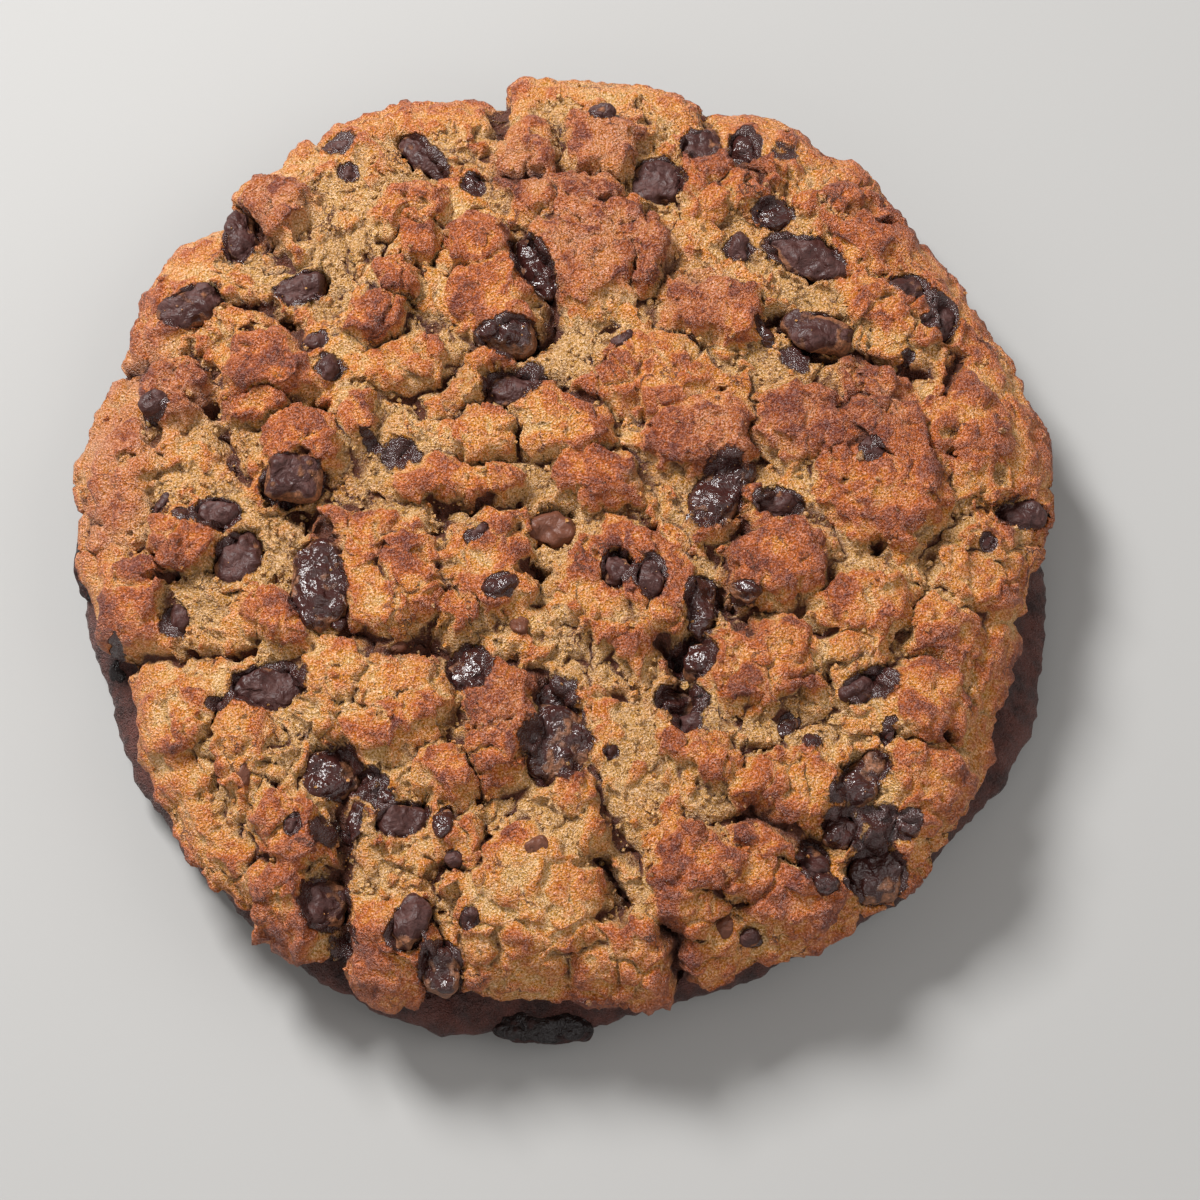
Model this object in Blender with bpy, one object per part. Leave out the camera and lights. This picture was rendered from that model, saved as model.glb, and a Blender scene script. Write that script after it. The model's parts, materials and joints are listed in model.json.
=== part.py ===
"""A large chocolate chip cookie, about 200 mm across and 37 mm thick.

The dough is one solid: a domed, craggy top whose lip overhangs a narrow waist, over a
darker foot with a flat base on z = 0. Each chocolate chunk is its own solid, seated in
a pocket of the dough with a small gap all round. The origin is the middle of the base.
"""

import math

import bmesh
import bpy
import numpy as np
from mathutils import Matrix, Vector, noise

# Driving dimensions, in metres
LIP_RADIUS = 0.1004
FOOT_RADIUS = 0.0990
CROWN_HEIGHT = 0.0332
LIP_HEIGHT = 0.0175
WAIST_HEIGHT = 0.0120
FOOT_HEIGHT = 0.0065
BASE_TRIM = 0.0004
CHUNK_GAP = 0.0005
CHUNK_STANDS = 0.0009
CHUNK_SQUARENESS = 0.7
CHUNK_UNEVENNESS = 0.20
BOX_SHIFT = (-0.0001, 0.0034, 0.0)
MM = 0.001

# The tables give the places on the top as the photograph shows them, from its middle. The eye is
# above and in front, so a place lies further forward, and further out at the back, than it looks
PLACE_FORWARD = 8.0
PLACE_LEVEL = 0.00036
PLACE_SPREAD = 0.00041

# Cells across the dough's top, rows down its side, and the triangles that it is thinned to
GRID_CELLS = 104
SIDE_ROWS = 13
DOUGH_TRIANGLES = 5600

# Height of the dough's section as shares of the crown, lip, waist and foot
SECTION_TOP = (
    (0.00, 1.000),
    (0.30, 0.985),
    (0.55, 0.945),
    (0.72, 0.870),
    (0.83, 0.750),
    (0.90, 0.600),
    (0.95, 0.420),
    (0.985, 0.200),
    (1.00, 0.000),
)
WAIST_SHARE = 0.962
FLAT_SHARE = 0.900

# How far a lump reaches from its centre as a share of its size, how square it is, how far out its
# shoulder starts and ends, and the groove round it
LUMP_REACH = 0.60
LUMP_SQUARENESS = 2.3
SHOULDER = (0.74, 1.12)
GROOVE_DEPTH = 0.0018
GROOVE_WIDTH = 0.10

# Unevenness of the baked surface in metres: height or sideways reach, then wavelength
BEND = (0.0024, 0.012)
CRAGS = (0.0024, 0.0105)
SMALL_CRAGS = (0.0018, 0.005)
CRAG_MEAN = 0.22
CRAG_DROP = 0.0015
FOOT_CRAGS = (0.0016, 0.010)
LUMP_RAGGED = (0.13, 0.008)
BASE_EASE = 0.004

# What the lip's radius has more than LIP_RADIUS in mm, counter-clockwise from +X in degrees
LIP_OUTLINE = (
    (2, 0), (6, 1.5), (12, 0.5), (16, -1), (21, -2), (27, -3.5), (36, -2.5), (41, -4),
    (46, -1.5), (51, 1.5), (55, -1), (61, 0.5), (66, 0), (71, -3), (77, -0.5), (91, 0),
    (96, 0), (99, -4.5), (103, -2.5), (110, 0), (118, 1), (127, -1), (134, 0.5),
    (138, -3.5), (143, 0), (149, 0), (154, -3.5), (162, -2.5), (169, -1.5), (174, 0.5),
    (181, -2), (185, -1), (192, -4), (198, -7.5), (205, -6.5), (211, -4), (217, -1),
    (228, 3), (238, 2), (250, 3), (259, -1), (269, -0.5), (274, -1.5), (280, 0), (287, 2),
    (292, 1), (303, 3), (305, 1.5), (313, 3.5), (322, 0.5), (329, 0), (333, -3), (338, -7),
    (348, -6), (357, -3),
)
# What the foot's radius has more than FOOT_RADIUS in mm, from the same start
FOOT_OUTLINE = (
    (0, -2), (30, -4), (60, -1), (90, -2), (120, 0), (150, -3), (175, -2), (190, -1.5),
    (203, -2), (214, 0.5), (227, 1.5), (238, 3), (246, 6), (256, 6), (264, 4.5), (271, 4),
    (280, 1.5), (288, -0.5), (307, 1), (315, 2), (337, 3), (351, 0),
)

# Lumps of the top in mm: x, y, length, width, turn in degrees, rise
LUMPS = (
    (5, 61, 23, 24, 0, 4.0), (5, 73, 13, 7, 0, 4.0), (9, 84, 14, 14, 0, 3.5),
    (-7, 78, 12, 21, 0, 3.0), (17, 60, 7, 16, 0, 4.5), (-58, 71, 16, 13, 20, 4.0),
    (-57, 36, 18, 13, 0, 5.0), (-38, 46, 11, 9, 0, 3.5), (-77, 31, 12, 12, 0, 4.0),
    (-62, 26, 13, 6, 20, 3.0), (-51, 18, 14, 14, 30, 5.0), (-40, 24, 7, 10, 0, 3.5),
    (-17, 61, 11, 11, 0, 4.0), (-33, 54, 10, 10, 0, 4.0), (-29, 62, 9, 8, 0, 3.5),
    (-30, 70, 12, 9, 0, 3.5), (-14, 50, 14, 18, 10, 4.5), (-17, 32, 15, 8, 45, 3.0),
    (10, 31, 13, 10, 0, 3.0), (18, 34, 20, 14, -20, 3.0), (-36, -9, 24, 25, 0, 4.5),
    (-38, -35, 25, 22, 0, 4.0), (-15, -7, 18, 20, 0, 3.5), (-21, -17, 9, 8, 0, 3.0),
    (-16, 21, 12, 11, 0, 4.5), (-1, 22, 18, 14, 0, 4.5), (6, 11, 16, 12, 0, 3.5),
    (-22, 10, 23, 9, 0, 3.5), (13, -13, 27, 24, 0, 3.5), (27, 20, 20, 16, 0, 4.5),
    (31, 47, 16, 12, 0, 3.5), (43, -6, 19, 15, 5, 5.5), (47, 23, 16, 15, 0, 4.0),
    (61, 32, 15, 11, 0, 3.0), (63, 16, 22, 32, 10, 4.5), (40, -28, 20, 16, 0, 4.0),
    (-12, -40, 13, 24, 0, 4.0), (-22, -51, 12, 10, 0, 3.5), (-20, -66, 11, 11, 0, 3.5),
    (-56, -18, 15, 9, -30, 3.5), (-75, -2, 13, 11, 0, 3.5), (-86, -13, 12, 16, 0, 3.5),
    (-77, -38, 14, 14, 0, 3.5), (-63, -45, 9, 18, 0, 3.5), (-54, -62, 14, 14, 0, 4.0),
    (-55, -77, 11, 22, 15, 4.5), (-33, -88, 19, 17, 0, 4.0), (-8, -77, 28, 26, 0, 3.5),
    (15, -88, 22, 15, 0, 3.5), (27, -70, 17, 14, 0, 4.5), (37, -72, 12, 11, 0, 3.5),
    (25, -78, 13, 9, 0, 3.5), (47, -76, 19, 12, 0, 3.5), (46, -53, 21, 15, 0, 3.5),
    (41, -63, 15, 9, 0, 3.0), (27, -47, 19, 8, -30, 3.0), (73, -51, 15, 16, 0, 4.0),
    (72, -35, 15, 14, 0, 4.0), (-44, -2, 8, 12, 0, 3.0), (-31, 36, 14, 10, 20, 2.5),
    (33, 75, 20, 12, 0, 2.5), (60, 68, 20, 14, -35, 2.5), (80, 24, 16, 22, 0, 2.5),
    (-80, 50, 12, 16, -30, 2.5), (-88, 14, 12, 20, 0, 2.0), (66, 48, 20, 10, -20, 2.5),
    (84, -5, 14, 18, 0, 2.5), (2, -60, 16, 14, 0, 2.0), (33, 4, 20, 10, 20, 2.0),
    (60, -15, 17, 13, 15, 3.5), (76, -20, 15, 14, -10, 3.0), (89, -24, 10, 14, 0, 2.5),
    (58, -26, 12, 8, 0, 2.5),
)

# Cracks in mm: depth, half width, then the points that each one runs through
CRACKS = (
    (4.0, 1.6, (-65, 50), (-55, 45), (-50, 39)),
    (3.0, 1.4, (-73, 30), (-67, 24)),
    (3.0, 1.3, (-68, 20), (-62, 13)),
    (3.5, 1.6, (-53, 4), (-45, -1), (-44, -12), (-43, -22), (-34, -25), (-23, -25), (-17, -29)),
    (2.5, 1.3, (-88, -23), (-78, -26), (-63, -24)),
    (2.5, 1.2, (-25, 5), (-8, 5)),
    (3.5, 1.5, (-10, -26), (-3, -33), (0, -38)),
    (3.0, 1.8, (5, -46), (8, -53), (14, -68)),
    (4.5, 1.8, (-43, -46), (-42, -65), (-45, -77), (-43, -88)),
    (4.5, 1.8, (-32, 87), (-23, 78)),
    (5.0, 1.8, (-10, 62), (-3, 51), (-2, 45), (-8, 38)),
    (2.5, 1.3, (-2, 32), (7, 27)),
    (3.0, 1.3, (-13, 79), (-4, 76)),
    (5.0, 1.6, (43, 45), (50, 38), (64, 37), (73, 36)),
    (3.5, 1.5, (80, 41), (76, 30)),
    (3.5, 1.6, (37, -58), (45, -61), (50, -64)),
    (5.0, 1.7, (9, -69), (12, -79)),
    (5.0, 1.7, (21, -82), (25, -92), (27, -100)),
    (3.5, 1.5, (20, -24), (26, -31), (24, -42)),
    (3.0, 1.6, (36, 2), (34, -8), (34, -16), (38, -20)),
    (3.0, 1.5, (-72, 84), (-67, 70), (-55, 58)),
    (3.0, 1.5, (-93, 41), (-84, 36)),
    (3.0, 1.5, (-14, 100), (-13, 88)),
    (3.0, 1.5, (30, 96), (31, 84), (39, 76)),
)

# Chocolate chunks in mm: name, x, y, length, width, turn in degrees, height, finish
CHUNKS = (
    ("chunk_rim_left_tall", -65, 66, 14.5, 6.5, 100, 7, "dull"),
    ("chunk_rim_left_grey", -74, 50, 14.5, 7.5, 30, 6, "dull"),
    ("chunk_left_bent", -52, 53, 11, 7.5, 10, 6, "dull"),
    ("chunk_back_slant", -28, 83, 15, 5.5, -45, 6, "dull"),
    ("chunk_crack_glossy", -6, 57, 16, 7.5, -60, 6, "glossy"),
    ("chunk_back_square", 19, 76, 11, 11.5, 0, 6, "dull"),
    ("chunk_deep_dark", -10, 41, 10.5, 9, 15, 6, "glossy"),
    ("chunk_crumbly_middle", -10, 30.5, 13.5, 8, 0, 6, "dull"),
    ("chunk_left_dark", -53, 10.5, 13, 10, 0, 7, "dull"),
    ("chunk_left_small", -68, 4.5, 9, 7.5, 0, 6, "dull"),
    ("chunk_left_crumbly", -64, -4.5, 13, 8.5, 55, 7, "dull"),
    ("chunk_left_glossy", -48, -12, 20.5, 11, 95, 7, "glossy"),
    ("chunk_middle_wet", -18, -29, 10.5, 10, 70, 6, "glossy"),
    ("chunk_lobe_left", 11, -9, 8, 6, 90, 6, "dull"),
    ("chunk_lobe_right", 17.5, -11.5, 9.5, 5.5, 80, 6, "dull"),
    ("chunk_centre_glossy", 28, -15.5, 12, 6.5, 85, 7, "glossy"),
    ("chunk_centre_crumbly", 27, -26.5, 8, 7, 80, 6, "glossy"),
    ("chunk_centre_wet", 24, -35, 11, 6, 0, 6, "glossy"),
    ("chunk_back_sparkle", 42, 69, 9, 6, 0, 5, "glossy"),
    ("chunk_back_large", 48, 60, 18, 9, -20, 7, "dull"),
    ("chunk_back_upright", 28, 85, 10, 8, 80, 6, "dull"),
    ("chunk_back_black", 36.5, 85, 9.5, 7, 80, 6, "glossy"),
    ("chunk_right_small", 69, 54, 8.5, 6.5, 20, 5, "dull"),
    ("chunk_right_tall", 76.5, 49, 11, 6, 100, 6, "dull"),
    ("chunk_right_pocket", 51, 43.5, 15, 8.5, -10, 6, "dull"),
    ("chunk_curved_glossy", 31, 7.5, 19.5, 10, 65, 7, "glossy"),
    ("chunk_beside_curved", 43, 6, 10.5, 6, 0, 5, "dull"),
    ("chunk_rim_right", 92, 7, 10.5, 6, 10, 6, "dull"),
    ("chunk_front_right_long", 60, -51, 14, 7.5, 50, 7, "glossy"),
    ("chunk_front_right_low", 56, -61.5, 7.5, 7, 0, 6, "glossy"),
    ("chunk_front_right_rim", 50, -68, 9, 6, 90, 6, "dull"),
    ("chunk_front_right_black", 63, -69.5, 12.5, 11, 20, 8, "glossy"),
    ("chunk_front_left_glossy", -45, -50, 12, 11, 10, 7, "glossy"),
    ("chunk_front_left_dull", -47, -76, 10, 11, 0, 7, "dull"),
    ("chunk_front_ring", -30, -82, 11.5, 7, 60, 6, "dull"),
    ("chunk_front_crumbly", -24, -90, 10, 8, 100, 6, "glossy"),
    ("chunk_front_middle", -1, -45, 17.5, 15, 70, 7, "glossy"),
    ("chunk_front_arc", -31, -60, 11.5, 6.5, 10, 6, "dull"),
    ("chunk_left_broad", -58, -32, 18.5, 10, 5, 7, "dull"),
    ("chunk_milk_centre", -2, 1, 12.5, 7, 0, 6, "milk"),
)
# Burnt chunks on the side in mm: name, angle in degrees, height, length, width, thickness
SIDE_CHUNKS = (
    ("chunk_burnt_left", 184, 8.5, 17.0, 9.0, 8),
    ("chunk_burnt_front", 268, 6.5, 21.0, 7.0, 7),
)

# Colour and roughness
DOUGH_FINISH = ((0.42, 0.17, 0.06, 1), 0.85)
FINISHES = {
    "glossy": ((0.032, 0.011, 0.009, 1), 0.20),
    "dull": ((0.052, 0.024, 0.021, 1), 0.50),
    "milk": ((0.115, 0.040, 0.022, 1), 0.45),
    "burnt": ((0.012, 0.008, 0.008, 1), 0.30),
}


def clear_scene():
    """Removes every object that the scene starts with."""
    for obj in list(bpy.data.objects):
        bpy.data.objects.remove(obj, do_unlink=True)


def material(name, colour, roughness):
    """A Principled material."""
    made = bpy.data.materials.new(name)
    made.use_nodes = True
    shader = made.node_tree.nodes["Principled BSDF"]
    shader.inputs["Base Color"].default_value = colour
    shader.inputs["Roughness"].default_value = roughness
    shader.inputs["Metallic"].default_value = 0.0
    return made


def smooth_step(value):
    """0 below 0, 1 above 1 and an S-curve between."""
    share = np.clip(value, 0.0, 1.0)
    return share * share * (3.0 - 2.0 * share)


def eased(value, places, heights):
    """A curve through the given points that eases from each point to the next."""
    index = np.clip(np.searchsorted(places, value, side="right") - 1, 0, len(places) - 2)
    share = (value - places[index]) / (places[index + 1] - places[index])
    return heights[index] + (heights[index + 1] - heights[index]) * smooth_step(share)


def outline(angle, radius, changes):
    """The radius at each angle of an outline whose changes are in degrees and mm."""
    degrees, more = np.array(changes, float).T
    places = np.append(degrees, degrees[0] + 360.0)
    values = np.append(more, more[0])
    return radius + eased(np.degrees(angle) % 360.0, places, values) * MM


def lip_radius(angle):
    """The lip's radius at each angle."""
    return outline(angle, LIP_RADIUS, LIP_OUTLINE)


def foot_radius(angle):
    """The foot's radius at each angle."""
    return outline(angle, FOOT_RADIUS, FOOT_OUTLINE)


def uneven(x, y, z, size_and_wave, seed):
    """Smooth noise of the given size and wavelength at each point."""
    size, wave = size_and_wave
    shift = Vector((seed * 17.3, seed * 5.1, seed * 9.7))
    return size * np.array([noise.noise(Vector(point) / wave + shift) for point in zip(x, y, z)])


def placed(x, y):
    """Where a place of the tables lies on the dough, in mm."""
    return x * (1.0 + PLACE_SPREAD * y), y - PLACE_FORWARD + PLACE_LEVEL * y * y


def lump_rise(x, y, ragged):
    """Height of the lumps: flat-topped and square-shouldered, with a groove between neighbours."""
    nearest = np.full_like(x, 9.0)
    second = np.full_like(x, 9.0)
    height = np.zeros_like(x)
    for seen_x, seen_y, length, width, turn, rise in LUMPS:
        centre_x, centre_y = placed(seen_x, seen_y)
        cos, sin = math.cos(math.radians(turn)), math.sin(math.radians(turn))
        east, north = x / MM - centre_x, y / MM - centre_y
        along = (east * cos + north * sin) / (LUMP_REACH * length)
        across = (north * cos - east * sin) / (LUMP_REACH * width)
        squared = np.abs(along) ** LUMP_SQUARENESS + np.abs(across) ** LUMP_SQUARENESS
        far = squared ** (1.0 / LUMP_SQUARENESS) + ragged
        shoulder = (SHOULDER[1] - far) / (SHOULDER[1] - SHOULDER[0])
        height = np.maximum(height, rise * MM * smooth_step(shoulder))
        second = np.where(far < nearest, nearest, np.minimum(second, far))
        nearest = np.minimum(nearest, far)
    between = np.exp(-(((second - nearest) / GROOVE_WIDTH) ** 2))
    return height - GROOVE_DEPTH * between * smooth_step((1.25 - nearest) / 0.2)


def crack_depth(x, y):
    """Depth that the cracks take away."""
    total = np.zeros_like(x)
    for depth, half_width, *seen in CRACKS:
        points = [placed(*place) for place in seen]
        nearest = np.full_like(x, 1e3)
        for (start_x, start_y), (end_x, end_y) in zip(points, points[1:]):
            run_x, run_y = end_x - start_x, end_y - start_y
            east, north = x / MM - start_x, y / MM - start_y
            share = np.clip((east * run_x + north * run_y) / (run_x**2 + run_y**2), 0.0, 1.0)
            nearest = np.minimum(nearest, np.hypot(east - share * run_x, north - share * run_y))
        total = np.maximum(total, depth * np.exp(-((nearest / half_width) ** 2)))
    return total * MM


def relief(x, y, z):
    """Height of the crags over the plain section."""
    far_x = x + uneven(x, y, z, BEND, 1)
    far_y = y + uneven(x, y, z, BEND, 2)
    ragged = uneven(x, y, z, LUMP_RAGGED, 30)
    height = lump_rise(far_x, far_y, ragged) - crack_depth(far_x, far_y) - CRAG_DROP
    for crags, seed in ((CRAGS, 3), (SMALL_CRAGS, 4)):
        height += np.abs(uneven(far_x, far_y, z, crags, seed)) - CRAG_MEAN * crags[0]
    return height


def section_top(share):
    """Height of the plain section at a share of the lip's radius."""
    places, heights = np.array(SECTION_TOP).T
    return LIP_HEIGHT + (CROWN_HEIGHT - LIP_HEIGHT) * np.interp(share, places, heights)


def top_grid():
    """A square grid laid on the disc as shares of the radius, and its angles."""
    steps = np.linspace(-1.0, 1.0, GRID_CELLS + 1)
    across, along = (values.ravel() for values in np.meshgrid(steps, steps))
    wide = np.abs(across) > np.abs(along)
    reach = np.where(wide, across, along)
    safe_across = np.where(wide, across, 1.0)
    safe_along = np.where(wide | (along == 0.0), 1.0, along)
    angle = np.where(
        wide,
        math.pi / 4 * along / safe_across,
        math.pi / 2 - math.pi / 4 * across / safe_along,
    )
    angle = np.where(reach < 0.0, angle + math.pi, angle)
    return np.abs(reach), angle


def grid_edge():
    """The grid's outer corners in order, counter-clockwise."""
    side = GRID_CELLS + 1
    front = [column for column in range(GRID_CELLS)]
    right = [row * side + GRID_CELLS for row in range(GRID_CELLS)]
    back = [GRID_CELLS * side + column for column in range(GRID_CELLS, 0, -1)]
    left = [row * side for row in range(GRID_CELLS, 0, -1)]
    return front + right + back + left


def side_section():
    """Share of the radius and height of each row from under the lip down to the base."""
    turn = np.linspace(0.0, 1.0, SIDE_ROWS + 1)[1:]
    places = np.array([0.0, 0.34, 0.62, 0.86, 1.0])
    shares = eased(turn, places, np.array([1.0, WAIST_SHARE, 1.0, 0.978, FLAT_SHARE]))
    heights = np.interp(turn, places, [LIP_HEIGHT, WAIST_HEIGHT, FOOT_HEIGHT, 0.0018, 0.0])
    return shares, heights


def plain_points():
    """The undisplaced dough: its points, and how much of the relief each one takes."""
    share, angle = top_grid()
    reach = share * (1.35 - 0.35 * share)
    height = section_top(reach)
    radius = reach * lip_radius(angle)
    points = [np.stack([radius * np.cos(angle), radius * np.sin(angle), height], axis=1)]
    weights = [np.ones_like(share)]
    edge_angle = angle[grid_edge()]
    lip = lip_radius(edge_angle)
    foot = foot_radius(edge_angle)
    for row_share, row_height in zip(*side_section()):
        of_foot = smooth_step((LIP_HEIGHT - row_height) / (LIP_HEIGHT - FOOT_HEIGHT))
        row_radius = row_share * (lip + (foot - lip) * of_foot)
        x, y = row_radius * np.cos(edge_angle), row_radius * np.sin(edge_angle)
        points.append(np.stack([x, y, np.full_like(x, row_height)], axis=1))
        weights.append(np.full_like(x, 1.0 - of_foot))
    return np.concatenate(points), np.concatenate(weights)


def dough_faces():
    """Quads of the grid and of the side rows, and the base as one face."""
    side = GRID_CELLS + 1
    faces = []
    for row in range(GRID_CELLS):
        for column in range(GRID_CELLS):
            corner = row * side + column
            faces.append((corner, corner + 1, corner + side + 1, corner + side))
    ring = grid_edge()
    for row in range(SIDE_ROWS):
        first = side * side + row * len(ring)
        below = list(range(first, first + len(ring)))
        for here in range(len(ring)):
            after = (here + 1) % len(ring)
            faces.append((ring[here], below[here], below[after], ring[after]))
        ring = below
    faces.append(tuple(reversed(ring)))
    return faces


def mesh_object(name, points, faces):
    """An object in the scene with this mesh."""
    mesh = bpy.data.meshes.new(name)
    mesh.from_pydata([tuple(point) for point in points], [], faces)
    mesh.update()
    made = bpy.data.objects.new(name, mesh)
    bpy.context.scene.collection.objects.link(made)
    return made


def vertex_normals(mesh):
    """The mesh's vertex normals as an array."""
    normals = np.empty(len(mesh.vertices) * 3, np.float32)
    mesh.vertices.foreach_get("normal", normals)
    return normals.reshape(-1, 3).astype(float)


def displaced(obj, points, weights):
    """Moves the top along its normals by the relief, and the foot by a fine unevenness."""
    normals = vertex_normals(obj.data)
    x, y, z = points.T
    angle = np.arctan2(y, x)
    over_edge = np.minimum(1.0, lip_radius(angle) / np.maximum(np.hypot(x, y), 1e-6))
    amount = weights * relief(x * over_edge, y * over_edge, z)
    amount += (1.0 - weights) * smooth_step(z / BASE_EASE) * uneven(x, y, z, FOOT_CRAGS, 5)
    return points + normals * amount[:, None]


def apply_modifier(obj, kind, **settings):
    """Adds one modifier and applies it at once."""
    modifier = obj.modifiers.new(kind.title(), kind)
    for key, value in settings.items():
        setattr(modifier, key, value)
    bpy.context.view_layer.objects.active = obj
    bpy.ops.object.modifier_apply(modifier=modifier.name)


def flatten_base(obj):
    """Cuts the dough level just above its lowest point, closes it and sets it on z = 0."""
    body = bmesh.new()
    body.from_mesh(obj.data)
    cut = bmesh.ops.bisect_plane(
        body,
        geom=body.verts[:] + body.edges[:] + body.faces[:],
        plane_co=(0.0, 0.0, BASE_TRIM),
        plane_no=(0.0, 0.0, -1.0),
        clear_outer=True,
    )
    rim = [item for item in cut["geom_cut"] if isinstance(item, bmesh.types.BMEdge)]
    bmesh.ops.contextual_create(body, geom=rim)
    bmesh.ops.translate(body, verts=body.verts[:], vec=(0.0, 0.0, -BASE_TRIM))
    bmesh.ops.triangulate(body, faces=body.faces[:])
    bmesh.ops.recalc_face_normals(body, faces=body.faces[:])
    body.to_mesh(obj.data)
    body.free()


def make_dough():
    """The dough without its pockets."""
    points, weights = plain_points()
    obj = mesh_object("cookie", points, dough_faces())
    moved = displaced(obj, points, weights)
    obj.data.vertices.foreach_set("co", moved.ravel())
    obj.data.update()
    apply_modifier(obj, "TRIANGULATE")
    apply_modifier(obj, "DECIMATE", ratio=DOUGH_TRIANGLES / len(obj.data.polygons))
    flatten_base(obj)
    return obj


def wrap(body):
    """Closes the body's points in their convex hull."""
    bmesh.ops.delete(body, geom=body.edges[:] + body.faces[:], context="EDGES_FACES")
    bmesh.ops.convex_hull(body, input=body.verts[:])
    inside = [vert for vert in body.verts if not vert.link_faces]
    bmesh.ops.delete(body, geom=inside, context="VERTS")
    bmesh.ops.recalc_face_normals(body, faces=body.faces[:])


def chunk_shape(sizes, seed, grow):
    """A broken, slightly squared lump of chocolate about the origin, in metres, and grown all round."""
    body = bmesh.new()
    bmesh.ops.create_uvsphere(body, u_segments=8, v_segments=5, radius=1.0)
    for vert in body.verts:
        squared = Vector([math.copysign(abs(value) ** CHUNK_SQUARENESS, value) for value in vert.co])
        swelling = 1.0 + CHUNK_UNEVENNESS * noise.noise(vert.co * 1.3 + Vector((seed * 3.1, 7.0, 2.0)))
        shape = squared.normalized().lerp(squared, 0.6) * swelling
        vert.co = Vector([0.5 * side * size for side, size in zip(shape, sizes)])
    wrap(body)
    if grow > 0.0:
        body.normal_update()
        for vert in body.verts:
            vert.co += vert.normal * grow
        wrap(body)
    return body


def seat(dough, x, y, depth, turn):
    """Where a chunk sits in the top: its centre under the surface and its lean."""
    _, place, normal, _ = dough.ray_cast(Vector((x, y, 0.1)), Vector((0.0, 0.0, -1.0)))
    lean = (normal.lerp(Vector((0.0, 0.0, 1.0)), 0.6)).normalized()
    tilt = Vector((0.0, 0.0, 1.0)).rotation_difference(lean).to_matrix().to_4x4()
    return Matrix.Translation(place - lean * depth) @ tilt @ Matrix.Rotation(turn, 4, "Z")


def side_seat(dough, angle, height):
    """Where a burnt chunk sits in the side, its long way along the rim."""
    inward = Vector((-math.cos(angle), -math.sin(angle), 0.0))
    start = Vector((0.0, 0.0, height)) - inward * 0.2
    _, place, _, _ = dough.ray_cast(start, inward)
    turned = Matrix.Rotation(angle + math.pi / 2, 4, "Z")
    return Matrix.Translation(place) @ turned


def chunk_object(name, sizes, seed, matrix, grow=0.0):
    """A chunk of these sizes at its place."""
    body = chunk_shape(sizes, seed, grow)
    mesh = bpy.data.meshes.new(name)
    body.to_mesh(mesh)
    body.free()
    made = bpy.data.objects.new(name, mesh)
    bpy.context.scene.collection.objects.link(made)
    made.matrix_world = matrix
    return made


def cut_pocket(dough, cutter):
    """Takes the cutter's shape out of the dough."""
    cutter.hide_render = True
    cutter.display_type = "WIRE"
    apply_modifier(dough, "BOOLEAN", object=cutter, operation="DIFFERENCE", solver="EXACT")
    bpy.data.objects.remove(cutter, do_unlink=True)


def drop_slivers(dough):
    """Removes what the pockets cut loose, and keeps the one large body."""
    body = bmesh.new()
    body.from_mesh(dough.data)
    unseen = set(body.verts)
    pieces = []
    while unseen:
        front = [unseen.pop()]
        piece = list(front)
        while front:
            for edge in front.pop().link_edges:
                for vert in edge.verts:
                    if vert in unseen:
                        unseen.remove(vert)
                        front.append(vert)
                        piece.append(vert)
        pieces.append(piece)
    pieces.sort(key=len)
    for piece in pieces[:-1]:
        bmesh.ops.delete(body, geom=piece, context="VERTS")
    body.to_mesh(dough.data)
    body.free()


def make_chunks(dough):
    """Every chunk with its pocket in the dough."""
    places = []
    for index, (name, seen_x, seen_y, length, width, turn, height, finish) in enumerate(CHUNKS):
        x, y = placed(seen_x, seen_y)
        depth = 0.5 * height * MM - CHUNK_STANDS
        matrix = seat(dough, x * MM, y * MM, depth, math.radians(turn))
        places.append((name, matrix, (length, width, height), finish, index + 1))
    for index, (name, angle, height, length, width, thick) in enumerate(SIDE_CHUNKS):
        matrix = side_seat(dough, math.radians(angle), height * MM)
        places.append((name, matrix, (length, thick, width), "burnt", 101 + index))
    chunks = []
    for name, matrix, sizes_mm, finish, seed in places:
        sizes = [size * MM for size in sizes_mm]
        chunk = chunk_object(name, sizes, seed, matrix)
        chunk.data.materials.append(material(name + "_" + finish, *FINISHES[finish]))
        chunks.append(chunk)
        cut_pocket(dough, chunk_object("pocket_cutter", sizes, seed, matrix, CHUNK_GAP))
    drop_slivers(dough)
    return chunks


def main():
    clear_scene()
    dough = make_dough()
    chunks = make_chunks(dough)
    dough.data.materials.append(material("baked_dough", *DOUGH_FINISH))
    for obj in [dough, *chunks]:
        obj.matrix_world = Matrix.Translation(BOX_SHIFT) @ obj.matrix_world


main()
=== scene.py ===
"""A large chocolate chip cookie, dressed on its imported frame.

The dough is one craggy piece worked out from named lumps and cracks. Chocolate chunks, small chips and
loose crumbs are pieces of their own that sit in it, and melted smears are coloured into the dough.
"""

import json
import math
import random

import bmesh
import bpy
import numpy as np
from bpy.props import FloatProperty, FloatVectorProperty, IntProperty, PointerProperty
from bpy.types import Operator, Panel, PropertyGroup
from mathutils import Matrix, Vector, noise
from mathutils.bvhtree import BVHTree

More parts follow.
